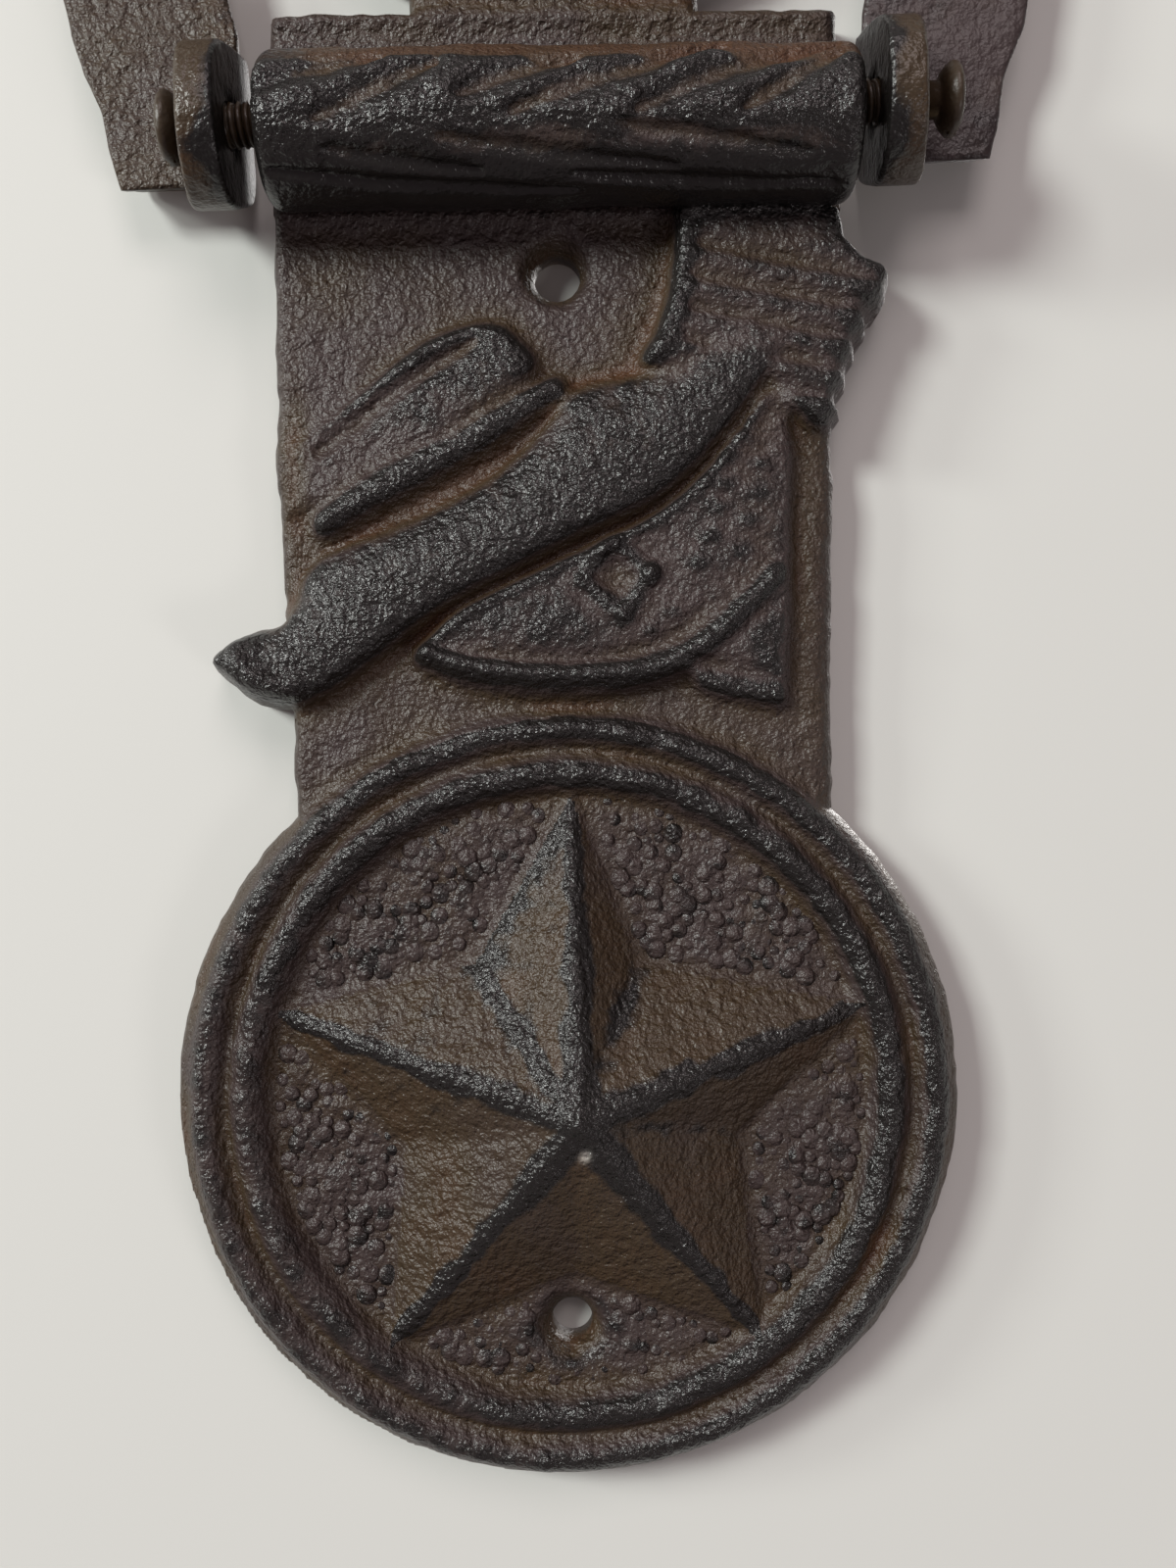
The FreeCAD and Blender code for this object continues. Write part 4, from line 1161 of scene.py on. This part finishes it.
# %% Thread by Geometry Nodes
def thread_nodes():
    """Node tree that makes a helical ridge. Its sizes are named inputs, in metres."""
    tree = bpy.data.node_groups.new("screw_thread", "GeometryNodeTree")
    tree.interface.new_socket("Turns", in_out="INPUT", socket_type="NodeSocketFloat")
    tree.interface.new_socket("Radius", in_out="INPUT", socket_type="NodeSocketFloat")
    tree.interface.new_socket("Length", in_out="INPUT", socket_type="NodeSocketFloat")
    tree.interface.new_socket("Ridge", in_out="INPUT", socket_type="NodeSocketFloat")
    tree.interface.new_socket("Iron", in_out="INPUT", socket_type="NodeSocketMaterial")
    tree.interface.new_socket("Geometry", in_out="OUTPUT", socket_type="NodeSocketGeometry")
    make, link = tree.nodes.new, tree.links.new
    given, result = make("NodeGroupInput"), make("NodeGroupOutput")
    spiral = make("GeometryNodeCurveSpiral")
    spiral.inputs["Resolution"].default_value = 40
    link(given.outputs["Turns"], spiral.inputs["Rotations"])
    link(given.outputs["Radius"], spiral.inputs["Start Radius"])
    link(given.outputs["Radius"], spiral.inputs["End Radius"])
    link(given.outputs["Length"], spiral.inputs["Height"])
    section = make("GeometryNodeCurvePrimitiveCircle")
    section.inputs["Resolution"].default_value = 4
    link(given.outputs["Ridge"], section.inputs["Radius"])
    sweep = make("GeometryNodeCurveToMesh")
    sweep.inputs["Fill Caps"].default_value = True
    link(spiral.outputs["Curve"], sweep.inputs["Curve"])
    link(section.outputs["Curve"], sweep.inputs["Profile Curve"])
    realize, paint = make("GeometryNodeRealizeInstances"), make("GeometryNodeSetMaterial")
    link(sweep.outputs["Mesh"], realize.inputs["Geometry"])
    link(realize.outputs["Geometry"], paint.inputs["Geometry"])
    link(given.outputs["Iron"], paint.inputs["Material"])
    link(paint.outputs["Geometry"], result.inputs["Geometry"])
    return tree


def baked_nodes(mesh, tree, values):
    """Run a node tree on a mesh, with the given values, and return its result as a plain mesh."""
    carrier = bpy.data.objects.new("carrier", mesh)
    bpy.context.scene.collection.objects.link(carrier)
    modifier = carrier.modifiers.new("nodes", "NODES")
    modifier.node_group = tree
    for item in tree.interface.items_tree:
        if item.in_out == "INPUT" and item.name in values:
            modifier[item.identifier] = values[item.name]
    depsgraph = bpy.context.evaluated_depsgraph_get()
    result = bpy.data.meshes.new_from_object(carrier.evaluated_get(depsgraph))
    bpy.data.objects.remove(carrier)
    return result


def add_thread(piece, side):
    """Join a helical ridge to the screw, from its point to just inside the lug."""
    length = LUG_INNER + 1.8 - SCREW_END - 0.5
    ridge_mesh = baked_nodes(bpy.data.meshes.new("thread"), thread_nodes(), {
        "Turns": length / PITCH, "Radius": 1.66 * MM, "Length": length * MM, "Ridge": 0.34 * MM,
        "Iron": screw_iron})
    points = np.array([vertex.co for vertex in ridge_mesh.vertices]) / MM
    along = np.column_stack([side * (SCREW_END + 0.5 + points[:, 2]),
                             side * points[:, 1] + PIVOT[1], points[:, 0]])
    ridge_mesh.vertices.foreach_set("co", (place_on_pivot(along) * MM).ravel())
    ridge_mesh.flip_normals()
    ridge_mesh.update()
    ridge_piece = bpy.data.objects.new("thread", ridge_mesh)
    bpy.context.scene.collection.objects.link(ridge_piece)
    with bpy.context.temp_override(active_object=piece, selected_editable_objects=[
            piece, ridge_piece]):
        bpy.ops.object.join()
    return piece


screws = [add_thread(screw_body("left_screw", -1), -1),
          add_thread(screw_body("right_screw", 1), 1)]
for screw in screws:
    store_paint(screw, 0.35, 0.45, grain=0.2)
print("screws:", [len(screw.data.polygons) for screw in screws])

# %% [markdown]
# ## Pebbles on the boss
# The flat between the star's arms is covered in little round bumps. They repeat by the hundred, so
# Geometry Nodes scatter them: points no nearer than a set distance and one low ball on each, with
# places and sizes from fixed seeds. Copying balls in a loop would take longer and be harder to tune.

# %% Pebble fields
def pebble_field():
    """Flat faces between the star's arms, where pebbles may lie, in metres."""
    step = 0.6
    across = np.arange(DISC[0] - 28, DISC[0] + 28, step)
    up = np.arange(DISC[1] - 28, DISC[1] + 28, step)
    x, z = np.meshgrid(across, up, indexing="ij")
    free = np.hypot(x - DISC[0], z - DISC[1]) < 27.6
    free &= signed_distance(x, z, STAR_OUTLINE) > 1.3
    free &= np.hypot(x, z + HOLE_REACH) > 4.1
    points, faces = [], []
    for centre_x, centre_z in zip(x[free], z[free]):
        start = len(points)
        for corner_x, corner_z in ((0, 0), (step, 0), (step, step), (0, step)):
            points.append(((centre_x + corner_x) * MM, -(FACE - 0.08) * MM,
                           (centre_z + corner_z) * MM))
        faces.append(tuple(range(start, start + 4)))
    mesh = bpy.data.meshes.new("pebble_field")
    mesh.from_pydata(points, [], faces)
    return mesh


# %% Pebble nodes
def pebble_nodes():
    """Node tree that scatters low balls over the faces it is given."""
    tree = bpy.data.node_groups.new("pebbles", "GeometryNodeTree")
    tree.interface.new_socket("Geometry", in_out="INPUT", socket_type="NodeSocketGeometry")
    for label in ("Gap", "Size", "Flatness"):
        tree.interface.new_socket(label, in_out="INPUT", socket_type="NodeSocketFloat")
    tree.interface.new_socket("Iron", in_out="INPUT", socket_type="NodeSocketMaterial")
    tree.interface.new_socket("Geometry", in_out="OUTPUT", socket_type="NodeSocketGeometry")
    make, link = tree.nodes.new, tree.links.new
    given, result = make("NodeGroupInput"), make("NodeGroupOutput")
    scatter = make("GeometryNodeDistributePointsOnFaces")
    scatter.distribute_method = "POISSON"
    scatter.inputs["Seed"].default_value = 7
    scatter.inputs["Density Max"].default_value = 1.6e6
    link(given.outputs["Geometry"], scatter.inputs["Mesh"])
    link(given.outputs["Gap"], scatter.inputs["Distance Min"])
    ball = make("GeometryNodeMeshUVSphere")
    ball.inputs["Segments"].default_value = 8
    ball.inputs["Rings"].default_value = 5
    link(given.outputs["Size"], ball.inputs["Radius"])
    smooth = make("GeometryNodeSetShadeSmooth")
    link(ball.outputs["Mesh"], smooth.inputs["Geometry"])
    spread = make("FunctionNodeRandomValue")
    spread.data_type = "FLOAT"
    spread.inputs[2].default_value = 0.45
    spread.inputs[3].default_value = 1.35
    spread.inputs["Seed"].default_value = 3
    shape = make("ShaderNodeCombineXYZ")
    flat = make("ShaderNodeMath")
    flat.operation = "MULTIPLY"
    link(spread.outputs[1], shape.inputs["X"])
    link(spread.outputs[1], shape.inputs["Z"])
    link(spread.outputs[1], flat.inputs[0])
    link(given.outputs["Flatness"], flat.inputs[1])
    link(flat.outputs[0], shape.inputs["Y"])
    place = make("GeometryNodeInstanceOnPoints")
    link(scatter.outputs["Points"], place.inputs["Points"])
    link(smooth.outputs["Geometry"], place.inputs["Instance"])
    link(shape.outputs["Vector"], place.inputs["Scale"])
    realize, paint = make("GeometryNodeRealizeInstances"), make("GeometryNodeSetMaterial")
    link(place.outputs["Instances"], realize.inputs["Geometry"])
    link(realize.outputs["Geometry"], paint.inputs["Geometry"])
    link(given.outputs["Iron"], paint.inputs["Material"])
    link(paint.outputs["Geometry"], result.inputs["Geometry"])
    return tree


# %% Pebbles
def scatter_pebbles(name, gap, radius, flatness, iron):
    """Pebbles as one mesh object."""
    mesh = baked_nodes(pebble_field(), pebble_nodes(),
                       {"Gap": gap, "Size": radius, "Flatness": flatness, "Iron": iron})
    mesh.name = name
    piece = bpy.data.objects.new(name, mesh)
    bpy.context.scene.collection.objects.link(piece)
    print(name, len(mesh.polygons), "faces")
    return piece


pebbles = scatter_pebbles("boss_pebbles", 1.08 * MM, 0.84 * MM, 0.42, plate_iron)
pebble_points = points_of(pebbles)
pebble_lump = lattice_noise(pebble_points[:, 0], pebble_points[:, 2], 1.3, 99)
store_paint(pebbles, 0.40 + 0.28 * pebble_lump, 0.12)

# %% [markdown]
# ## Which casting takes which paint
# The plate and the shoe differ a little in colour, because they were painted apart. The shoe's lugs
# are smoother and shinier than the rest of it, and the screws are nearly black. One function mixes
# all four paints, so they stay a family.

# %% Paint on the pieces
for piece, material in ((boss, plate_iron), (plate, plate_iron), (barrel, plate_iron),
                        (pebbles, plate_iron), (shoe, shoe_iron), (lugs[0], lug_iron),
                        (lugs[1], lug_iron), (screws[0], screw_iron), (screws[1], screw_iron)):
    piece.data.materials.clear()
    piece.data.materials.append(material)

# %% [markdown]
# ## Which piece moves with what
# The shoe and its lugs swing. Everything else stays with the plate, the screws too, because they
# are threaded into it. Each piece hangs on the body of the CAD part that it stands for, and that
# part's own mesh is hidden.

# %% Bodies and stand-ins
for piece in (boss, plate, barrel, pebbles):
    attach(piece, "back_plate")
    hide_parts("back_plate")
for piece in (shoe, *lugs):
    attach(piece, "knocker")
    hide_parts("horseshoe_knocker")
for piece, node in zip(screws, ("pivot_screw_left", "pivot_screw_right")):
    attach(piece, "back_plate")
    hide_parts(node)
print("swinging pieces:", [piece.name for piece in (shoe, *lugs)])

# %% [markdown]
# ## Studio
# A plain pale wall stands right behind the plate, as the door would. Two lamps on the left, like
# windows, give the long soft shadows, and a wide one overhead lights what faces up. A weak one on
# the right fills the shadows. The wall casts no shadow and can be seen through from behind, so that
# the last lamp lights the back of the casting.

# %% Wall
def studio_wall():
    """Pale wall just behind the door plane, see-through from its back."""
    half, gap = 2.5, 0.6 * MM
    mesh = bpy.data.meshes.new("wall")
    mesh.from_pydata([(-half, gap, -half), (half, gap, -half), (half, gap, half),
                      (-half, gap, half)], [], [(0, 1, 2, 3)])
    wall = bpy.data.objects.new("wall", mesh)
    bpy.context.scene.collection.objects.link(wall)
    material = bpy.data.materials.new("wall_paint")
    material.use_nodes = True
    nodes, links = material.node_tree.nodes, material.node_tree.links
    shader = nodes["Principled BSDF"]
    shader.inputs["Base Color"].default_value = srgb(203, 205, 201)
    shader.inputs["Roughness"].default_value = 0.7
    side = nodes.new("ShaderNodeNewGeometry")
    clear = nodes.new("ShaderNodeBsdfTransparent")
    mix = nodes.new("ShaderNodeMixShader")
    links.new(side.outputs["Backfacing"], mix.inputs["Fac"])
    links.new(shader.outputs["BSDF"], mix.inputs[1])
    links.new(clear.outputs["BSDF"], mix.inputs[2])
    links.new(mix.outputs["Shader"], nodes["Material Output"].inputs["Surface"])
    mesh.materials.append(material)
    wall.visible_shadow = False
    wall.visible_diffuse = False


# %% Lamps and room
def soft_lamp(name, place, aim, size, power, tint):
    """Square lamp that looks at a point."""
    data = bpy.data.lights.new(name, "AREA")
    data.shape = "SQUARE"
    data.size = size
    data.energy = power
    data.color = tint
    lamp = bpy.data.objects.new(name, data)
    lamp.location = place
    lamp.rotation_euler = (Vector(aim) - Vector(place)).to_track_quat("-Z", "Y").to_euler()
    bpy.context.scene.collection.objects.link(lamp)


studio_wall()
soft_lamp("window", (-0.95, -1.02, 0.50), aim=(0, 0, 0.01), size=0.36, power=17.2,
          tint=(0.975, 1.0, 0.965))
soft_lamp("side_window", (-0.95, -0.46, 0.32), aim=(0, 0, 0.01), size=0.20, power=4.4,
          tint=(0.98, 1.0, 0.95))
soft_lamp("ceiling", (0.15, -1.50, 1.20), aim=(0, 0, 0), size=0.9, power=11.0,
          tint=(1.0, 0.87, 0.87))
soft_lamp("fill", (0.42, -0.44, -0.30), aim=(0, 0, 0), size=0.14, power=0.5,
          tint=(1.0, 0.94, 0.93))
soft_lamp("behind", (0.50, 0.90, 0.50), aim=(0, 0, 0.03), size=0.40, power=9.0,
          tint=(1.0, 0.98, 0.96))
world = bpy.data.worlds.new("room")
world.use_nodes = True
room_light = world.node_tree.nodes["Background"]
room_light.inputs["Color"].default_value = (1.0, 0.81, 0.85, 1)
room_light.inputs["Strength"].default_value = 0.20
bpy.context.scene.world = world
bpy.context.scene.view_settings.view_transform = "Standard"

# %% [markdown]
# ## Camera
# The camera stands close, straight in front of the lower part, and is rolled by a degree.

# %% Camera
CAMERA_GAP = 134.4
CAMERA_ROLL = math.radians(0.85)
SENSOR = 36.0
FRAME_TALL = 153.6
camera_data = bpy.data.cameras.new("camera")
camera_data.sensor_fit = "VERTICAL"
camera_data.sensor_height = SENSOR
camera_data.lens = SENSOR * CAMERA_GAP / FRAME_TALL
camera_data.clip_start = 0.005
camera = bpy.data.objects.new("camera", camera_data)
camera.location = (2.27 * MM, -CAMERA_GAP * MM, 1.32 * MM)
camera.rotation_euler = (math.pi / 2, CAMERA_ROLL, 0)
bpy.context.scene.collection.objects.link(camera)
bpy.context.scene.camera = camera
print("lens", round(camera_data.lens, 1), "mm")
